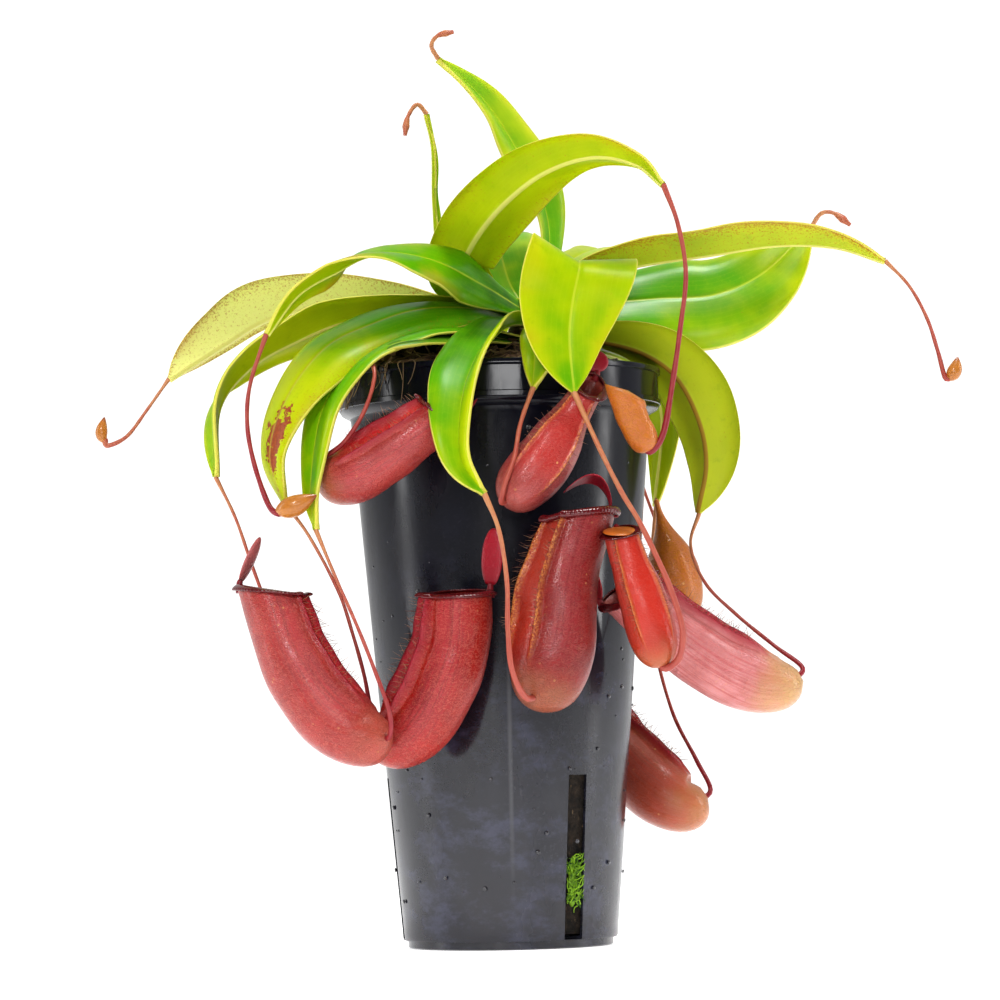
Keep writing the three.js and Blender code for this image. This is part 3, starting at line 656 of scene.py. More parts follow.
def leaf_blade(name, route, faces, halves, fold, tone, widest=0.43, later=0.0, neck=0.0,
               flatten=0.0, curl=0.05, ripple=0.5, lean=0, pale=0, blush=0, spots=0.1, rust=0,
               blotch_at=None, shine=1.0):
    """halves and fold are for the left and right of the midrib, seen from the stem, and flatten is
    how much of the fold goes towards the tip. tone runs from the stem to the tip, and lean makes
    the right-hand half yellower than the left. neck is where the blade has widened from its base,
    and later is how much nearer the tip the right half is widest. blotch_at is how far from the
    midrib a brown patch lies."""
    rows = 72
    places, ahead, up, side, share = frames_along(route, faces, rows)
    across, along = blade_columns[None, :], share[:, None]
    from_rib = np.abs(across)
    power = math.log(0.5) / np.log(np.where(across > 0, widest + later, widest))
    lance = np.sin(math.pi * along**power) ** 0.72
    if neck:
        lance = lance * (0.35 + 0.65 * np.clip(along / neck, 0, 1) ** 2)
    foot = 0.34 * (1 - along) ** 5
    half = np.where(across < 0, *halves) / 1000
    reach = np.maximum(from_rib * half * np.hypot(lance, foot), from_rib * 0.0008)
    opened = 1 - flatten * np.clip((along - 0.52) / 0.18, 0, 1)
    raised = np.radians(np.where(across < 0, *fold)) * opened
    valley = np.hypot(reach, valley_round) - valley_round
    wave = np.sin(along * 17 + len(name)) * 0.6 + np.sin(along * 31 + across * 2) * 0.4
    lift = valley * np.sin(raised) - curl * half * across**4 * 6 * lance**2
    lift = lift + ripple / 1000 * wave * across**2 * lance
    out = np.sign(across) * reach * np.cos(raised)
    middle = places[:, None] + side[:, None] * out[..., None] + up[:, None] * lift[..., None]
    sideways = (np.sign(across) * np.sin(raised))[..., None]
    normal = unit(up[:, None] * np.cos(raised)[..., None] - side[:, None] * sideways)
    thin = edge_half + rib_half * (1 - from_rib) + 0.0004 * along**6
    groove = groove_deep * np.exp(-((reach / groove_wide) ** 2)) * lance
    keel = keel_deep * np.exp(-((reach / keel_wide) ** 2)) * (1 - 0.5 * along)
    top = middle + normal * (thin - groove)[..., None]
    below = middle - normal * (thin + keel)[..., None]
    ring = np.concatenate([top, below[:, ::-1]], 1)
    across, under = both_sides(across + 0 * reach), np.concatenate([0 * reach, 0 * reach + 1], 1)
    along = along + 0 * across
    near_edge = np.abs(across) ** 3
    blotch = 0
    if blotch_at:
        blotch = (1 - under) * np.exp(
            -(((across - blotch_at) / 0.6) ** 2) - ((along - 0.86) / 0.1) ** 2)
    blade = new_piece(
        "blade_" + name, ring.reshape(-1, 3), rings_to_faces(rows, ring.shape[1], capped=True),
        leaf_wax, along=along, across=across, reach=both_sides(reach) * 1000, under=under,
        tone=np.interp(along, np.linspace(0, 1, len(tone)), tone) + lean * across,
        pale=pale * (0.4 + 0.6 * along), blush=blush * near_edge * along,
        spots=spots * (0.4 + 0.9 * near_edge), rust=rust, shine=shine, blotch=blotch,
    )
    blade_tips[name] = route[-1]
    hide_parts("leaf_" + name)
    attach(blade, "root")


leaf_blade(
    "upright",
    [(11, 4, 197), (16, 9, 213), (15, 13, 231), (5, 14, 252), (-4, 12, 265), (-17, 9, 277)],
    faces=[(0.7, -0.7, 0.3), (0.5, -0.8, 0.1), (0.6, -0.6, 0.4)], halves=(12, 11.5),
    fold=(40, 18), neck=0.5, tone=(0.45, 0.6, 0.8), pale=0.05, blush=0.3,
)
leaf_blade(
    "rolled",
    [(8, 4, 198), (-6, 14, 206), (-17, 18, 217), (-19, 19, 232), (-19, 19, 250), (-21, 18, 261)],
    faces=[(0.5, -0.3, 0.8), (0.9, -0.4, 0)], halves=(3.4, 3.4), fold=(64, 64),
    tone=(0.45, 0.7, 0.6),
)
leaf_blade(
    "overhead",
    [(7, 1, 196), (-4, 1, 200), (-11, -8, 206), (-8, -18, 214), (1, -31, 224), (14, -42, 233),
     (29, -49, 237), (42, -54, 234), (50, -57, 227)],
    faces=[(0, 0.8, 0.6), (0, 0.87, 0.5), (0, 0.87, 0.5), (0, 0.6, 0.8), (0.2, 0.3, 0.9)],
    halves=(12.5, 14), fold=(30, 30), widest=0.42, neck=0.12, tone=(0.6, 0.85, 0.85, 0.75),
    blush=0.6, spots=0.8, lean=-0.12,
)
leaf_blade(
    "front",
    [(12, -4, 195), (19, -24, 203), (24, -45, 205.5), (24.5, -55, 202.5), (22, -59, 191),
     (21, -61, 180), (22, -63, 165)],
    faces=[(0, -0.3, 1), (0, -0.2, 1), (0, -0.5, 0.9), (0, -1, 0.3), (0, -1, 0.1)],
    halves=(17.5, 17), fold=(-3, 37), flatten=0.8, widest=0.5, later=0.1, curl=0, ripple=0.25,
    tone=(0.4, 0.66, 0.72, 0.72), blush=0.5, shine=0.35,
)
leaf_blade(
    "front_left",
    [(9, -5, 192), (2, -26, 189), (-5, -46, 180), (-10, -60, 168), (-12, -68, 154),
     (-11, -70, 144), (-5, -70, 135)],
    faces=[(0, -0.4, 0.9), (0, -0.6, 0.8), (0, -1, 0.2)], halves=(11, 12.5), fold=(68, 18),
    widest=0.5, tone=(0.12, 0.42, 0.58, 0.78), lean=-0.25, shine=0.8,
)
leaf_blade(
    "front_inner", [(10, -6, 191), (11, -28, 187), (11, -46, 180), (10, -58, 167)],
    faces=[(0, -0.4, 0.9), (0, -0.6, 0.8), (-0.2, -0.9, 0.3)], halves=(8, 5), fold=(16, 20),
    widest=0.6, tone=(0.5, 0.75), spots=0.6,
)
leaf_blade(
    "left_thin",
    [(7, -5, 196), (-4, -17, 202), (-20, -30, 209), (-37, -41, 210), (-49, -47, 204),
     (-60, -51, 197), (-69, -54, 185)],
    faces=[(0, -0.8, 0.6), (0, -0.9, 0.45), (0, -0.5, 0.9), (-0.3, 0.4, 0.9), (-0.6, 0.4, 0.7)],
    halves=(10.5, 10.5), fold=(8, 8), tone=(0.15, 0.45, 0.75), blush=1.2, shine=0.7,
)
leaf_blade(
    "left_far",
    [(8, 4, 196), (-12, 12, 199), (-32, 18, 202), (-53, 23, 202), (-73, 25, 198), (-87, 24, 190),
     (-104, 20, 179)],
    faces=[(0, 0.3, 0.9), (0, 0.7, 0.7), (-0.3, 0.75, 0.6)], halves=(15.5, 13), fold=(35, 55),
    widest=0.72, tone=(0.3, 0.7, 0.9), pale=1, spots=1.5, blush=0.6,
)
leaf_blade(
    "left_middle",
    [(7, -1, 194), (-12, -6, 196), (-30, -9, 195), (-47, -12, 193), (-62, -15, 187),
     (-76, -18, 179), (-86, -20, 166), (-87, -21, 145)],
    faces=[(0, 0, 1), (0, 0.2, 1), (-0.1, 0.3, 0.9), (-0.5, 0, 0.8), (-0.75, -0.65, 0.1)],
    halves=(13.5, 13), fold=(38, 12), widest=0.55, tone=(0.2, 0.6, 0.75, 0.65), spots=0.3,
)
leaf_blade(
    "left_blotched",
    [(6, -6, 192), (-8, -18, 195), (-24, -28, 194), (-38, -37, 189), (-52, -47, 181),
     (-63, -54, 166), (-68, -58, 149), (-64, -59, 134)],
    faces=[(0, -0.5, 0.85), (-0.1, -0.6, 0.8), (-0.5, -0.65, 0.5), (-0.9, -0.45, 0.1)],
    halves=(12.5, 13.5), fold=(-4, -4), widest=0.5, tone=(0.05, 0.3, 0.85, 0.95),
    blotch_at=-0.2, blush=0.4, spots=0.8, rust=0.45,
)
leaf_blade(
    "left_under",
    [(6, -8, 187), (-9, -22, 188), (-24, -32, 186), (-36, -41, 181.5), (-46, -50, 173),
     (-53, -56, 160), (-56, -60, 139), (-55, -62, 126)],
    faces=[(0, -0.3, 0.95), (-0.3, -0.3, 0.9), (-0.7, -0.6, 0.3), (-0.75, -0.65, 0)],
    halves=(11, 10), fold=(18, 20), tone=(0.1, 0.3, 0.5, 0.6),
)
leaf_blade(
    "left_short",
    [(7, -10, 185), (-7, -28, 185), (-22, -42, 183.5), (-31, -48, 181.5), (-38, -52, 177)],
    faces=[(0, -0.3, 0.9), (0, -0.4, 0.9)], halves=(5, 5), fold=(10, 10), tone=(0, 0.15),
    spots=0.6, blush=0.6,
)
leaf_blade(
    "back_left",
    [(9, 6, 197), (4, 13, 206), (1, 28, 219), (0, 45, 225), (0, 62, 220), (0, 84, 194)],
    faces=[(0, -0.8, 0.6), (0, -0.6, 0.8), (0, 0.6, 0.8)], halves=(21, 15), fold=(12, 12),
    widest=0.36, tone=(0.42, 0.7, 0.7), spots=0.3,
)
leaf_blade(
    "back", [(10, 8, 198), (18, 22, 210), (30, 40, 219), (35, 56, 217), (38, 74, 184)],
    faces=[(-0.3, -0.5, 0.8), (0, -0.3, 1), (0.3, 0.8, 0.4)], halves=(10, 10), fold=(12, 12),
    tone=(0.8, 1),
)
leaf_blade(
    "back_right",
    [(12, 4, 192), (27, 18, 187), (40, 35, 184), (49, 50, 178), (53, 60, 165), (50, 62, 138)],
    faces=[(0, -0.2, 1), (0, -0.2, 1), (0.6, 0.7, 0.3)], halves=(10, 10), fold=(10, 10),
    tone=(0.4, 0.75),
)
leaf_blade(
    "right_glossy",
    [(14, 2, 194), (30, 7, 198), (50, 10, 200), (68, 11, 201), (84, 13, 208), (99, 14, 222)],
    faces=[(0, -0.7, 0.7), (0, -0.9, 0.4), (0, -0.9, 0.4)], halves=(15, 17), fold=(8, 4),
    widest=0.52, tone=(0.2, 0.45, 0.7), shine=1.6,
)
leaf_blade(
    "right_top",
    [(14, 1, 199), (27, -7, 205), (43, -16, 208), (66, -24, 210), (85, -27, 212),
     (103, -28, 211), (118, -29, 206)],
    faces=[(0, 0, 1), (0, 0.1, 1), (0.1, 0.1, 1)], halves=(12.5, 13.5), fold=(25, 38),
    curl=0.025, widest=0.5, tone=(0.5, 0.75, 0.9), pale=0.12, spots=1.8, blush=0.6,
)
leaf_blade(
    "right_low",
    [(14, 0, 190), (30, 1, 187), (44, 1, 183), (55, 1, 175), (62, 1, 161), (64, 0, 147),
     (61, -1, 132)],
    faces=[(0, 0.3, 0.9), (0.1, 0.6, 0.8), (0.5, 0.8, 0.3), (0.6, 0.8, 0)], halves=(12.5, 15),
    fold=(30, 30), widest=0.58, tone=(0.6, 0.95, 1), pale=0.1, rust=0.9, spots=0.3,
)


# ---------------------------------------------------------------- tendrils
# The midrib runs on past each blade's tip as a smooth tendril. It is peach-brown near the blade
# and dark red where it turns up into the foot of a pitcher.

tendril_skin, tree, shader = new_finish("tendril_skin")
mottle = speckle(tree, 300, 3, 0.6)
ripe = value_of(tree, "along") + (mottle - 0.5) * 0.5
red = paint(ripe.between(0.02, 0.4), (0.52, 0.23, 0.1), (0.42, 0.09, 0.06))
red = paint(ripe.between(0.35, 0.95), red, (0.26, 0.014, 0.024))
feed(shader, Base_Color=red, Roughness=0.42, Normal=bumps(mottle, 0.0003, 0.4))
tendril_rods = rods_tree("tendril_rod", tendril_skin, 12)
thinnest = 0.00055


def tendril(name, *route, tip=None, ripe=(0, 1), stout=0.58):
    """The route goes on from the blade's tip. tip is the radius of a swollen end that carries
    nothing yet, ripe how red it is at its start and its end, and stout its radius."""
    route = [blade_tips[name], *route]
    places, _ = path_points(route, 12 * len(route))
    share = np.linspace(0, 1, len(places))
    if tip:
        swell = np.sin(math.pi * np.clip((share - 0.6) / 0.4, 0, 0.93)) ** 1.5
        thick = thinnest + 0.0002 * (1 - share) + (tip / 1000 - thinnest) * swell
    else:
        thick = stout / 1000 * (0.74 + 0.36 * share) + 0.0003 * np.exp(-share * 14)
        thick = thick + 0.00035 * np.exp((share - 1) * 9)
    thick = thick * (1 + 0.05 * np.sin(share * 40))
    redness = ripe[0] + share * (ripe[1] - ripe[0])
    piece = rods(
        "tendril_run_" + name, [places], tendril_rods, tendril_skin, thick=thick, along=redness)
    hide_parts("tendril_" + name)
    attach(piece, "root")


tendril("upright", (-19, 8, 281), (-17, 7, 284), (-12, 6, 285), tip=1.0, ripe=(0, 0.3))
tendril("rolled", (-24, 17, 264), (-27, 16, 260), (-28, 15, 254), tip=1.1, ripe=(0, 0.3))
tendril("right_glossy", (102, 12, 226), (106, 11, 226), (111, 10, 222), tip=1.2, ripe=(0, 0.3))
tendril("overhead", (54, -58, 215), (56, -59, 200), (54, -60, 184), (51, -61, 166),
        (48, -62, 152), (44, -62, 147), (42.5, -62, 150), ripe=(0.45, 1), stout=0.82)
tendril("front", (29, -67, 148), (35, -70, 135), (40, -72, 126), (45, -74, 115), (49, -74, 105),
        (52, -73, 94), (51, -69, 86), (47, -66, 83), (45, -65, 86), ripe=(0.05, 0.6), stout=0.85)
tendril("front_left", (-1, -74, 124), (1, -78, 109), (1, -80, 95), (2, -79, 83), (6, -73, 75),
        (11, -65, 77), ripe=(0.05, 0.6), stout=0.8)
tendril("front_inner", (6, -62, 156), (4, -64, 146), (1, -65, 138), (0, -62, 133),
        (3, -59, 135), ripe=(0.15, 0.6), stout=0.8)
tendril("left_thin", (-74, -55, 170), (-75, -56, 158), (-73, -58, 146), (-69, -60, 134),
        (-66, -63, 131), (-64, -63, 132), ripe=(0.45, 1), stout=0.72)
tendril("left_far", (-111, 18, 169), (-117, 16, 161), (-123, 15, 158), (-124, 15, 160),
        ripe=(0.1, 0.35))
tendril("left_middle", (-81, -22, 132), (-76, -24, 117), (-71, -26, 104), (-64, -28, 92),
        (-62, -28, 91), ripe=(0.1, 0.6))
tendril("left_blotched", (-57, -57, 124), (-49, -53, 108), (-45, -50, 95), (-42, -47, 83),
        (-40, -46, 72), (-36, -47, 64))
tendril("left_under", (-49, -66, 111), (-43, -72, 97), (-38, -77, 84), (-34, -77, 72),
        (-34, -72, 65), (-37, -67, 64))
tendril("left_short", (-37, -57, 171), (-40, -61, 161), (-46, -61, 152), (-53, -57, 147),
        (-57, -53, 143), (-52, -53, 142), ripe=(0.35, 1), stout=0.72)
tendril("back_left", (-2, 88, 178), (-5, 88, 160), (-10, 84, 144), (-12, 83, 142))
tendril("back", (42, 76, 161), (50, 68, 134), (60, 50, 110), (59, 39, 99), (56, 33, 103))
tendril("back_right", (48, 60, 120), (48, 56, 96), (53, 48, 72), (60, 38, 56), (64, 31, 46),
        (58, 29, 43))
tendril("right_top", (125, -30, 198), (130, -31, 188), (133, -31, 178), (135, -31, 170),
        (137, -31, 170), ripe=(0.1, 0.6))
tendril("right_low", (58, -4, 122), (62, -9, 110), (71, -14, 100), (82, -21, 90), (90, -26, 83),
        (86, -28, 79))


# ---------------------------------------------------------------- pitchers
# Each pitcher is a thin-walled cup that the leaf's tip grows into, red and finely wrinkled, with
# a yellower foot. Two wings run up its front. The mouth has a dark glossy ribbed lip, and a lid
# on a short stalk at its back. The pale one behind is still shut, without wings, lip or lid.

pitcher_skin, tree, shader = new_finish("pitcher_skin")
along, inside, belly, crest, deep, wrinkled, gold, gilt = (value_of(tree, name) for name in (
    "along", "inside", "belly", "crest", "deep", "wrinkled", "gold", "gilt"))
cloud = speckle(tree, 110, 4, 0.6)
fine = speckle(tree, 1500, 4, 0.65)
crinkle = speckle(tree, 760, 4, 0.6, stretch=(0.8, 0.8, 1.4))
crease = abs(crinkle - 0.5)
stripe_place = {0: value_of(tree, "turned") * 14.0, 1: along}
stripe_place = add_node(tree, "ShaderNodeCombineXYZ", stripe_place)
stripes = speckle(tree, 3.0, 3, 0.6, where=stripe_place)
rosy = (value_of(tree, "rosy") * (cloud * 1.2 + 0.2)).clamped()
rosy = (rosy * (stripes.between(0.35, 0.6) * 0.6 + 0.6)).clamped()
front_band = value_of(tree, "front_band") * 0.75
foot = (along + cloud * 0.25).between(gold * 0.16 + 0.32, 0.12)
# Painted highlights: pale pink lines on the wrinkle creases and fine pale pink specks, painted as
# glints of light on the wrinkles. The darker pitchers get fewer.
wrinkle_glints = wrinkled * (0.36 - deep * 0.3)
cells = add_node(tree, "ShaderNodeTexVoronoi", {"Vector": own_place(tree), "Scale": 330.0})
flecks = Signal(cells.outputs["Distance"]).between(0.16, 0.08) * cloud.between(0.5, 0.7)
broken = paint(gilt, (1, 1, 1), fine.between(0.42, 0.58))
red = coats(
    paint(cloud, (0.17, 0.002, 0.002), (0.56, 0.016, 0.006)),
    (deep, paint(cloud, (0.1, 0.002, 0.003), (0.36, 0.012, 0.008))),
    # Painted sheen: a mauve-pink highlight laid over the belly between each wing and the flank,
    # where light catches the cup.
    (belly * (deep * 0.35 + 0.5), paint(deep, (0.52, 0.06, 0.075), (0.3, 0.036, 0.04))),
    (stripes.between(0.48, 0.6) * (belly * 0.45 + 0.15), (0.2, 0.006, 0.01)),
    (rosy, (0.64, 0.26, 0.26)),
    (front_band, paint(deep, (0.58, 0.012, 0.018), (0.42, 0.035, 0.008))),
    (foot * gold, (0.6, 0.36, 0.14)),
    (1.0 - value_of(tree, "ruddy"), (0.56, 0.19, 0.012)),
    (crease.between(0.04, 0.0) * wrinkle_glints, (0.72, 0.19, 0.13)),
    (fine.between(0.62, 0.8) * wrinkle_glints, (0.74, 0.32, 0.2)),
    (flecks * 0.7, (0.85, 0.5, 0.18)),
    (crest * broken, paint(gilt, (0.36, 0.01, 0.028), (0.8, 0.33, 0.08))),
    (inside, paint(fine, (0.1, 0.008, 0.006), (0.4, 0.07, 0.03))),
)
wrinkles = crinkle + crease.between(0.0, 0.08) * 0.3
feed(
    shader, Base_Color=red, Roughness=fine * 0.2 + 0.26, Specular_IOR_Level=0.3,
    Normal=bumps(wrinkles * wrinkled, 0.0006, 0.75), Coat_Weight=0.5, Coat_Roughness=0.15,
    Coat_Normal=bumps(wrinkles, 0.0002, 0.3),
)

lip_gloss, tree, shader = new_finish("lip_gloss")
dark_red = paint(speckle(tree, 700, 2, 0.5), (0.04, 0.002, 0.004), (0.18, 0.008, 0.012))
feed(shader, Base_Color=dark_red, Roughness=0.22, Coat_Weight=0.2)


rounded = 0.27  # the share of a cup's length that its round bottom takes


def ease(share, low, high):
    t = np.clip((share - low) / (high - low), 0, 1)
    return t * t * (3 - 2 * t)


def angles_round(apart):
    """Angles round a cup from between its wings, closest together on the wings."""
    near = np.linspace(-0.17, 0.17, 13)
    spread = np.linspace(-math.pi, math.pi, 60, endpoint=False)
    clear = spread[np.abs(np.abs(spread) - apart) > 0.2]
    return np.sort(np.concatenate([clear, near - apart, near + apart]))


def wing_ridge(around, apart):
    return np.exp(-(((np.abs(around) - apart) / 0.06) ** 2))


def cup_wall(route, radius, mouth, front, slant, share, around, shrink=0.0, wing=0.0, apart=0.3,
             turn=0.0):
    """Rings of points of the wall at these shares of its length, with two wings raised from it,
    and which way each ring looks ahead and up."""
    places, ahead, up, side, every = frames_along(route, [front, front], 200)
    places, ahead, up, side = (
        read_rows(share, every, field) for field in (places, ahead, up, side))
    height = share[:, None]
    bottom = radius * np.sqrt(np.maximum(0, 1 - (1 - np.minimum(height / rounded, 1)) ** 2))
    neck = (mouth - radius) * ease(height, 0.4, 0.95)
    r = np.maximum(0.0001, (bottom + neck - shrink) / 1000)
    grown = ease(height, 0.1, 0.45) * (1 - 0.25 * ease(height, 0.85, 1))
    tall = wing / 1000 * grown * wing_ridge(around, apart)
    flat = 1 - 0.05 * np.exp(-((around / apart) ** 2)) * ease(height, 0.1, 0.3)
    dent = 1 + 0.02 * np.sin(around * 3 + height * 7) + 0.015 * np.sin(height * 23)
    out = r * flat * dent + tall
    around = around + turn
    tip = slant * ease(height, 0.6, 1) * np.cos(around) * r
    points = places[:, None] + up[:, None] * (np.cos(around) * out)[..., None]
    points = points + side[:, None] * (np.sin(around) * out)[..., None]
    return points - ahead[:, None] * tip[..., None], ahead, up


bristle_tips = []


def pitcher(name, route, radius, mouth, front, slant, lid=None, apart=0.3, wing=2.0, lip=1.0,
            ruddy=1.0, gold=0.3, gilt=0.0, rosy=0.0, deep=0.0, wrinkled=1.0, turn=0.0,
            role="pitcher"):
    """apart is half the angle between its wings, wing is how tall they are, and turn is the angle
    from its front, which its mouth slants to, to the middle between them. gold is how yellow its
    foot is, gilt how golden its wings are, deep how dark it is, and lip how tall its lip is."""
    around = angles_round(apart)
    shape = (route, radius, mouth, front, slant)
    along = np.concatenate([np.linspace(0, rounded, 16), np.linspace(0.29, 1, 42)])
    outer, ahead, up = cup_wall(*shape, along, around, 0, wing, apart, turn)
    rings, inside, end = outer, 0 * along, outer[-1].mean(0) + 0.0012 * ahead[-1]
    if lid:
        down = np.array([1, 0.97, 0.9, 0.8, 0.7, 0.6, 0.5, 0.4, 0.33])
        inner = cup_wall(*shape, down, around, shrink=0.7, turn=turn)[0]
        rings, end = np.concatenate([outer, inner]), inner[-1].mean(0)
        along = np.concatenate([along, down])
        inside = np.concatenate([inside, 0.35 + 0.65 * (1 - ease(down, 0.75, 1))])
    points, faces = closed_skin(rings, rings[0].mean(0), end)
    aside = np.abs(around)
    outside = ((inside == 0) * ease(along, 0.1, 0.4))[:, None]

    def by_ring(values):
        return np.append(np.repeat(values, len(around)), [values[0], values[-1]])

    def on_wall(pattern):
        return np.append(outside * pattern, [0, 0])

    cup = new_piece(
        role + "_cup_" + name, points, faces, pitcher_skin, along=by_ring(along),
        inside=by_ring(inside), turned=np.append(np.tile(aside / math.pi, len(rings)), [1, 1]),
        crest=on_wall(wing_ridge(around, apart) * (wing > 0)),
        front_band=on_wall(ease(aside, apart + 0.05, apart - 0.1)),
        belly=on_wall(ease(aside, apart + 0.15, apart + 0.45) * ease(aside, 1.9, 1.1)),
        ruddy=ruddy, gold=gold, gilt=gilt, rosy=rosy, deep=deep, wrinkled=wrinkled,
    )
    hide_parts(role + "_" + name)
    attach(cup, "root")
    if wing:
        lowest_hair = 20
        haired = outer[lowest_hair:-1]
        for wing_at in (-apart, apart):
            crest = haired[:, int(np.argmin(np.abs(around - wing_at)))]
            bristle_tips.append((crest, unit(crest - haired.mean(1))))
    if lid:
        add_lip(name, outer[-1], ahead[-1], lip)
        add_lid(name, outer[-1], ahead[-1], up[-1], mouth / 1000, **lid)


def add_lip(name, rim, ahead, lip):
    """The rolled lip: a ribbed band that turns outwards over the rim."""
    steps, columns, smoothings = 260, 14, 14
    ring = np.vstack([rim, rim[:1]])
    gone = gone_at(ring)
    places = read_rows(np.linspace(0, gone[-1], steps, endpoint=False), gone, ring)
    for _ in range(smoothings):
        places = (np.roll(places, 1, 0) + places * 2 + np.roll(places, -1, 0)) / 4
    out = places - places.mean(0)
    out = unit(out - (out @ ahead)[:, None] * ahead)
    turn, rib = turns(columns), (1 + 0.05 * np.cos(np.arange(steps) * math.pi * 2 / 4))[:, None]
    wide, tall = 0.0013, 0.0006 * lip
    outwards = 0.0003 + wide * np.cos(turn) * rib
    upwards = tall * 0.6 + tall * np.sin(turn) * rib - 0.0004 * np.cos(turn)
    points = places[:, None] + out[:, None] * outwards[..., None] + ahead * upwards[..., None]
    last = (steps - 1) * columns
    faces = rings_to_faces(steps, columns)
    faces += [(last + c, last + (c + 1) % columns, (c + 1) % columns, c) for c in range(columns)]
    band = new_piece("pitcher_lip_" + name, points.reshape(-1, 3), faces, lip_gloss)
    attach(band, "root")


def add_lid(name, rim, ahead, up, mouth, along, face, long=1.0, wide=1.0, arch=0.0, rosy=0.0,
            dark=0.6, ruddy=1.0):
    """A thin oval lid, a little domed, on a stalk that rises from the back of the rim. along is
    where it points and face where its top looks."""
    along = unit(np.array(along, float))
    thick = np.array(face, float)
    thick = unit(thick - thick @ along * along)
    across = np.cross(thick, along)
    back = rim[np.argmin(rim @ up)] + ahead * 0.0006
    long, wide = mouth * 0.85 * long, mouth * 0.78 * wide
    rows, columns = 12, 40
    turn = turns(columns)
    centre = back + along * (0.001 + long) + thick * arch * long
    layers = []
    for side in (1, -1):
        for r in np.linspace(0.04, 1, rows)[::side]:
            v, w = r * np.cos(turn), r * np.sin(turn)
            notch = 1 - 0.12 * np.exp(-((w / 0.3) ** 2)) * (v < 0)
            sheet = 0.1 * wide * (1 - r * r) - arch * v**2 * long
            half_thick = 0.0004 * np.sqrt(max(0.02, 1 - r**6))
            ring = centre + along * (v * long * notch)[:, None] + across * (w * wide)[:, None]
            layers.append(ring + thick * (sheet + side * half_thick)[:, None])
    lid = new_piece(
        "pitcher_lid_" + name, np.concatenate(layers),
        rings_to_faces(len(layers), columns, capped=True), pitcher_skin, along=0.7, inside=0,
        turned=0, crest=dark, front_band=0, belly=0.4, ruddy=ruddy, gold=0, gilt=0, rosy=rosy,
        deep=0, wrinkled=0.25,
    )
    foot = back + along * (0.001 + long * 0.12)
    stalk = np.stack([back - ahead * 0.002, back * 0.5 + foot * 0.5, foot]) * 1000
    stalk = rods(
        "lid_stalk_" + name, [path_points(stalk, 10)[0]], tendril_rods, tendril_skin,
        thick=np.linspace(0.0014, 0.0008, 10), along=1)
    for piece in (lid, stalk):
        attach(piece, "root")


pitcher(
    "front", [(46, -65, 83), (44, -65, 91), (41, -66, 102), (37, -66, 115), (35, -66, 123)],
    radius=7.3, mouth=5.2, front=(0.2, -1, 0), slant=0.35, apart=0.7, wing=1.0, lip=0.6,
    ruddy=0.9, gold=0.25, gilt=0.6, wrinkled=0.3,
    lid=dict(along=(0.2, -1, -0.3), face=(0, -0.35, 1), long=1.2, wide=1.3, dark=0, ruddy=0.3),
)
pitcher(
    "front_left", [(9, -67, 72), (12, -63, 81), (15, -61, 93), (17, -60, 109), (23, -59, 128)],
    radius=12.2, mouth=9.6, front=(-1, 0, 0), slant=0.45, turn=0.65, apart=0.42, wing=2.2,
    lip=1.9, gold=0.22, gilt=0.9, deep=0.8, wrinkled=1.7,
    lid=dict(along=(-0.94, 0, 0.35), face=(0.3, 0.3, 0.9), long=0.95, wide=0.55, arch=0.95,
             dark=1),
)
pitcher(
    "front_inner", [(0, -60, 133), (6, -58, 138), (13, -57, 146), (19, -57, 155), (27, -57, 167)],
    radius=8.8, mouth=4.6, front=(0.1, -1, 0.1), slant=0.8, apart=0.75, wing=1.0, gold=0.06,
    gilt=0.9, rosy=0.3, deep=0.4,
    lid=dict(along=(-0.1, 0.2, 0.9), face=(0.1, -0.8, 0.5), long=0.9, wide=1.1, dark=1),
)
pitcher(
    "left_blotched",
    [(-42, -46, 64), (-32, -50, 65), (-24, -54, 71), (-18, -57, 81), (-14, -58, 93),
     (-13, -59, 106)],
    radius=10.6, mouth=9.6, front=(-0.9, -0.3, 0.2), slant=0.1, wing=4.0, gold=0.08, wrinkled=1.3,
    lid=dict(along=(0.08, 0, 1), face=(-0.4, -0.9, 0), long=1.08, wide=0.46, dark=0.9),
)
pitcher(
    "left_under",
    [(-34, -69, 65), (-42, -65, 65), (-50, -62, 70), (-58, -60, 80), (-64, -58, 92),
     (-69, -56, 108)],
    radius=10.6, mouth=9.3, front=(0.9, -0.3, 0.4), slant=0.5, wing=1.8, gold=0.12, rosy=0.15,
    wrinkled=1.3,
    lid=dict(along=(0.42, 0, 0.9), face=(0.8, -0.4, -0.4), long=0.95, wide=0.42, rosy=1, dark=0),
)
pitcher(
    "left_short",
    [(-55, -52, 142), (-45, -55, 142), (-35, -57, 147), (-26, -59, 153), (-18, -58, 159)],
    radius=8.6, mouth=7, front=(-0.35, -0.6, 0.8), slant=0.3, apart=0.4, wing=2.6, gold=0.45,
    rosy=0.15, lid=dict(along=(0.6, 0, 0.8), face=(-0.8, 0, 0.6), long=0.8, wide=0.9),
)
pitcher(
    "back", [(56, 34, 100), (55, 31, 109), (53, 30, 120), (49, 31, 138)],
    radius=8.4, mouth=0.9, front=(0.7, -0.7, 0), slant=0, wing=0, ruddy=0.12, gold=0,
)
pitcher(
    "back_right",
    [(63, 29, 44), (56, 29, 42), (48, 32, 46), (41, 38, 53), (34, 45, 62), (29, 52, 72)],
    radius=10.4, mouth=8.4, front=(0.6, -0.1, 0.8), slant=0.35, wing=2.6, ruddy=0.8, gold=0.5,
    rosy=0.25, wrinkled=0.5, lid=dict(along=(0, 0.4, 0.9), face=(0.7, -0.6, 0.3)),
)
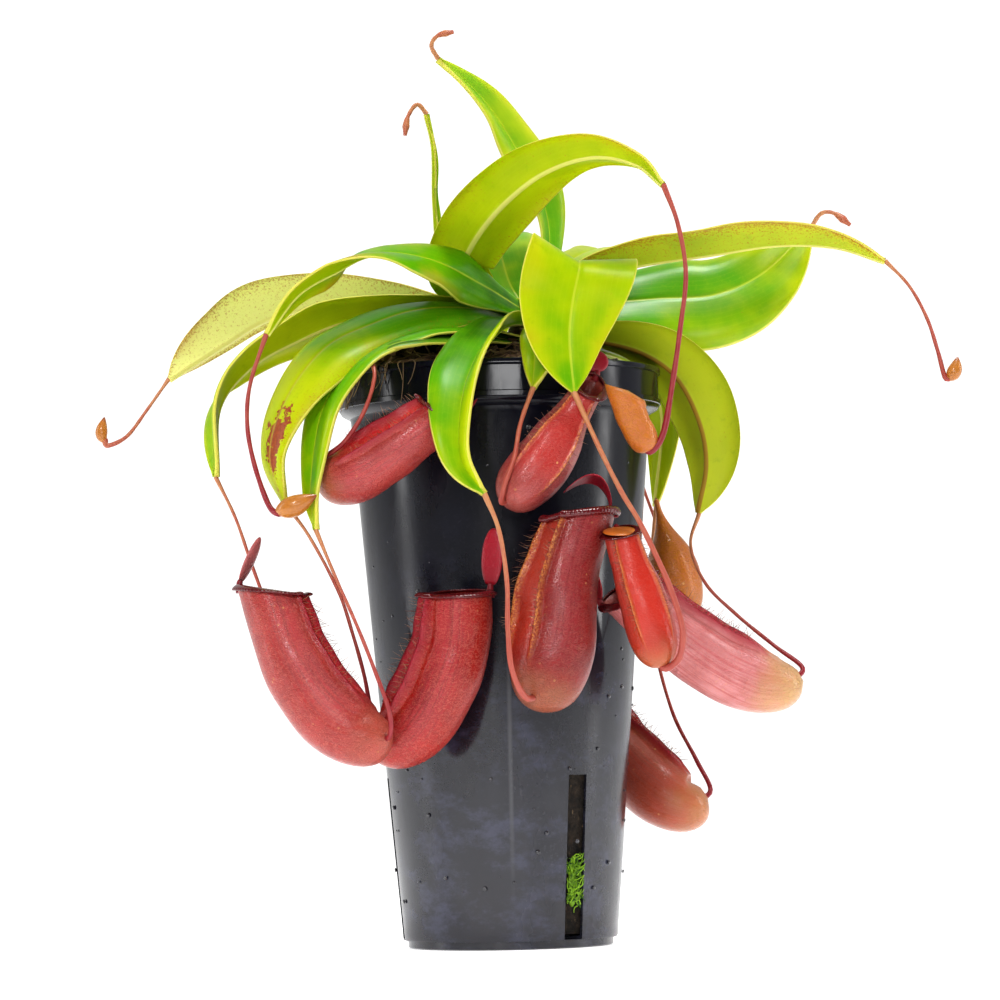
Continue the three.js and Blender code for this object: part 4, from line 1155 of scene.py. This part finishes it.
pitcher(
    "right_low",
    [(90, -28, 79), (82, -28, 78), (73, -29, 80), (61, -34, 86), (48, -39, 96), (37, -43, 106)],
    radius=9.8, mouth=8.2, front=(0.4, -0.3, 0.9), slant=0.35, apart=0.25, wing=3.0, gold=1.0,
    rosy=0.9, wrinkled=0.8, lid=dict(along=(-0.3, -0.1, 0.95), face=(0.9, 0.3, 0.3)),
)


# ---------------------------------------------------------------- bristles
# Stiff tapered hairs fringe the two wings of each open pitcher. They lean outwards, each a little
# astray of the next.

hair_tint = tinted_finish("bristle_hair", (0.1, 0.02, 0.015), (0.5, 0.28, 0.16), 0.6)[0]


def bristle_tree(name, finish):
    """Tapered hairs on the edges of a wire mesh, leaning as its points say."""
    tree, given = new_tree(name, Spacing=0.001, Length=0.003, Thickness=0.00012, Seed=1)
    path = add_node(tree, "GeometryNodeMeshToCurve", {"Mesh": given["Geometry"]})
    spots = add_node(tree, "GeometryNodeResampleCurve", {
        "Curve": path, "Length": given["Spacing"]}, mode="LENGTH")
    lean = add_node(tree, "GeometryNodeInputNamedAttribute", {
        "Name": "lean"}, data_type="FLOAT_VECTOR")
    stray = add_node(tree, "FunctionNodeRandomValue", {
        0: (-0.6, -0.6, -0.6), 1: (0.6, 0.6, 0.6), "Seed": given["Seed"]}, data_type="FLOAT_VECTOR")
    way = add_node(tree, "ShaderNodeVectorMath", {0: lean, 1: stray}, operation="ADD")
    turn = add_node(tree, "FunctionNodeAlignRotationToVector", {"Vector": way}, axis="Z")
    hair = add_node(tree, "GeometryNodeMeshCone", {
        "Vertices": 3, "Side Segments": 1, "Fill Segments": 1, "Radius Top": 0.00002,
        "Radius Bottom": given["Thickness"], "Depth": given["Length"]}, fill_type="TRIANGLE_FAN")
    return strew(tree, finish, spots, hair, turn, 0.45, 1.15, given["Seed"])


hair_wire = wire_piece("pitcher_bristles", [crest for crest, _ in bristle_tips], hair_tint)
leans = np.vstack([lean for _, lean in bristle_tips])
lean = hair_wire.data.attributes.new("lean", "FLOAT_VECTOR", "POINT")
lean.data.foreach_set("vector", leans.ravel())
hairs_tree = bristle_tree("bristles", hair_tint)
bristles = grow(hair_wire, hairs_tree, Spacing=0.0007, Length=0.0032, Thickness=0.0001, Seed=4)
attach(bristles, "root")


# ---------------------------------------------------------------- buds
# Young pitchers that have not opened: small, smooth and orange-brown. The one that hangs from the
# leaf overhead is already shaped like a bucket, and shut.

bud_skin, tree, shader = new_finish("bud_skin")
cloud = speckle(tree, 180, 3, 0.6)
orange = paint(cloud, (0.36, 0.11, 0.015), (0.58, 0.24, 0.04))
orange = paint(value_of(tree, "along").between(0.75, 1.0), orange, (0.3, 0.08, 0.025))
feed(
    shader, Base_Color=orange, Roughness=0.35, Normal=bumps(cloud, 0.0005, 0.3), Coat_Weight=0.3)
bud_rods = rods_tree("bud_rod", bud_skin, 24)


def bud(name, *route, radius):
    places, _ = path_points(route, 40)
    share = np.linspace(0, 1, 40)
    thick = radius / 1000 * np.sin(math.pi * (0.05 + 0.93 * share**0.8)) ** 0.9
    piece = rods("young_bud_" + name, [places], bud_rods, bud_skin, thick=thick, along=share)
    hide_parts("bud_" + name)
    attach(piece, "root")


pitcher(
    "overhead", [(44, -62, 147), (42, -62, 151), (39.3, -63, 157), (37, -64, 164.5)],
    radius=4.7, mouth=5.1, front=(1, 0, 0), slant=0.85, wing=0, ruddy=0.15, gold=0, role="bud",
)
bud("left_thin", (-66.5, -63, 131.5), (-61, -64, 133), (-54.5, -65, 136), radius=3.2)
bud("left_far", (-124, 15, 159), (-125, 15, 162), (-124, 15, 167), radius=1.9)
bud("left_middle", (-63, -28, 91), (-59, -29, 91), (-57, -29, 95), radius=2.4)
bud("back_left", (-11, 83, 142), (-14, 81, 144), (-16, 80, 151), radius=3)
bud("right_top", (136, -31, 169), (138, -31, 172), (139, -31, 176), radius=2.2)


# ---------------------------------------------------------------- moss and droplets
# Green moss grows out through the slot right of the front. Water from the last spray stands in
# drops on the pot.

moss_green = tinted_finish("moss_green", (0.02, 0.1, 0.003), (0.32, 0.56, 0.02), 0.5)[0]
to_slot = np.array(Matrix.Rotation(math.radians(slot_turns[0]), 3, "Z")).T
cushion = [(0.3, -7), (1, -6), (1.3, -3), (1.4, 0), (1.3, 3), (1, 6), (0.3, 7)]
points, faces = turned_skin(cushion, 20)
points = (points + (0, -0.0325, 0.0195)) @ to_slot
moss_bed = new_piece("moss_cushion", points, faces, moss_green)
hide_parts("moss_tuft")
chance = np.random.default_rng(12)
strands, strand_count, steps = [], 150, 4
for number in range(strand_count):
    clump = (16.0, 23.5)[number % 2]
    x, y, z = chance.uniform(-2.2, 2.2), chance.uniform(-34.4, -33), clump + chance.normal(0, 1.7)
    lean, length = chance.normal(0, 1.1), chance.uniform(1.8, 4.4)
    chain = [(x, y, z)]
    for _ in range(steps):
        x = np.clip(x + math.sin(lean) * length / steps, -3, 3)
        z += math.cos(lean) * length / steps
        y -= chance.uniform(0.05, 0.5)
        lean += chance.normal(0, 0.5)
        chain.append((x, y, z))
    strands.append(path_points(chain, 9)[0] @ to_slot)
thick = np.tile(np.linspace(0.00024, 0.00008, 9), len(strands))
moss_rods = rods_tree("moss_rods", moss_green, 5)
moss = rods("moss_strands", strands, moss_rods, moss_green, thick=thick)
for piece in (moss_bed, moss):
    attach(piece, "root")

water, tree, shader = new_finish("water_drop")
feed(
    shader, Base_Color=paint(speckle(tree, 800), (0.02, 0.02, 0.025), (0.06, 0.06, 0.07)),
    Roughness=0.04, IOR=1.33, Coat_Weight=1.0,
)


def drop(tree):
    ball = add_node(tree, "GeometryNodeMeshIcoSphere", {"Radius": 0.0005, "Subdivisions": 2})
    return add_node(tree, "GeometryNodeTransform", {"Geometry": ball, "Scale": (1, 1, 0.5)})


points, faces = turned_skin([(34.2, 12), (40, 86), (46.1, 161)], 96)
wet = [face for face in faces if len(face) == 4]
drop_ground = new_piece("pot_drops", points, wet, water)
drops_tree = scatter_tree("drops", drop, water)
drops = grow(drop_ground, drops_tree, Density=3600.0, Smallest=0.3, Largest=1.7, Tilt=0.0)
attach(drops, "root")
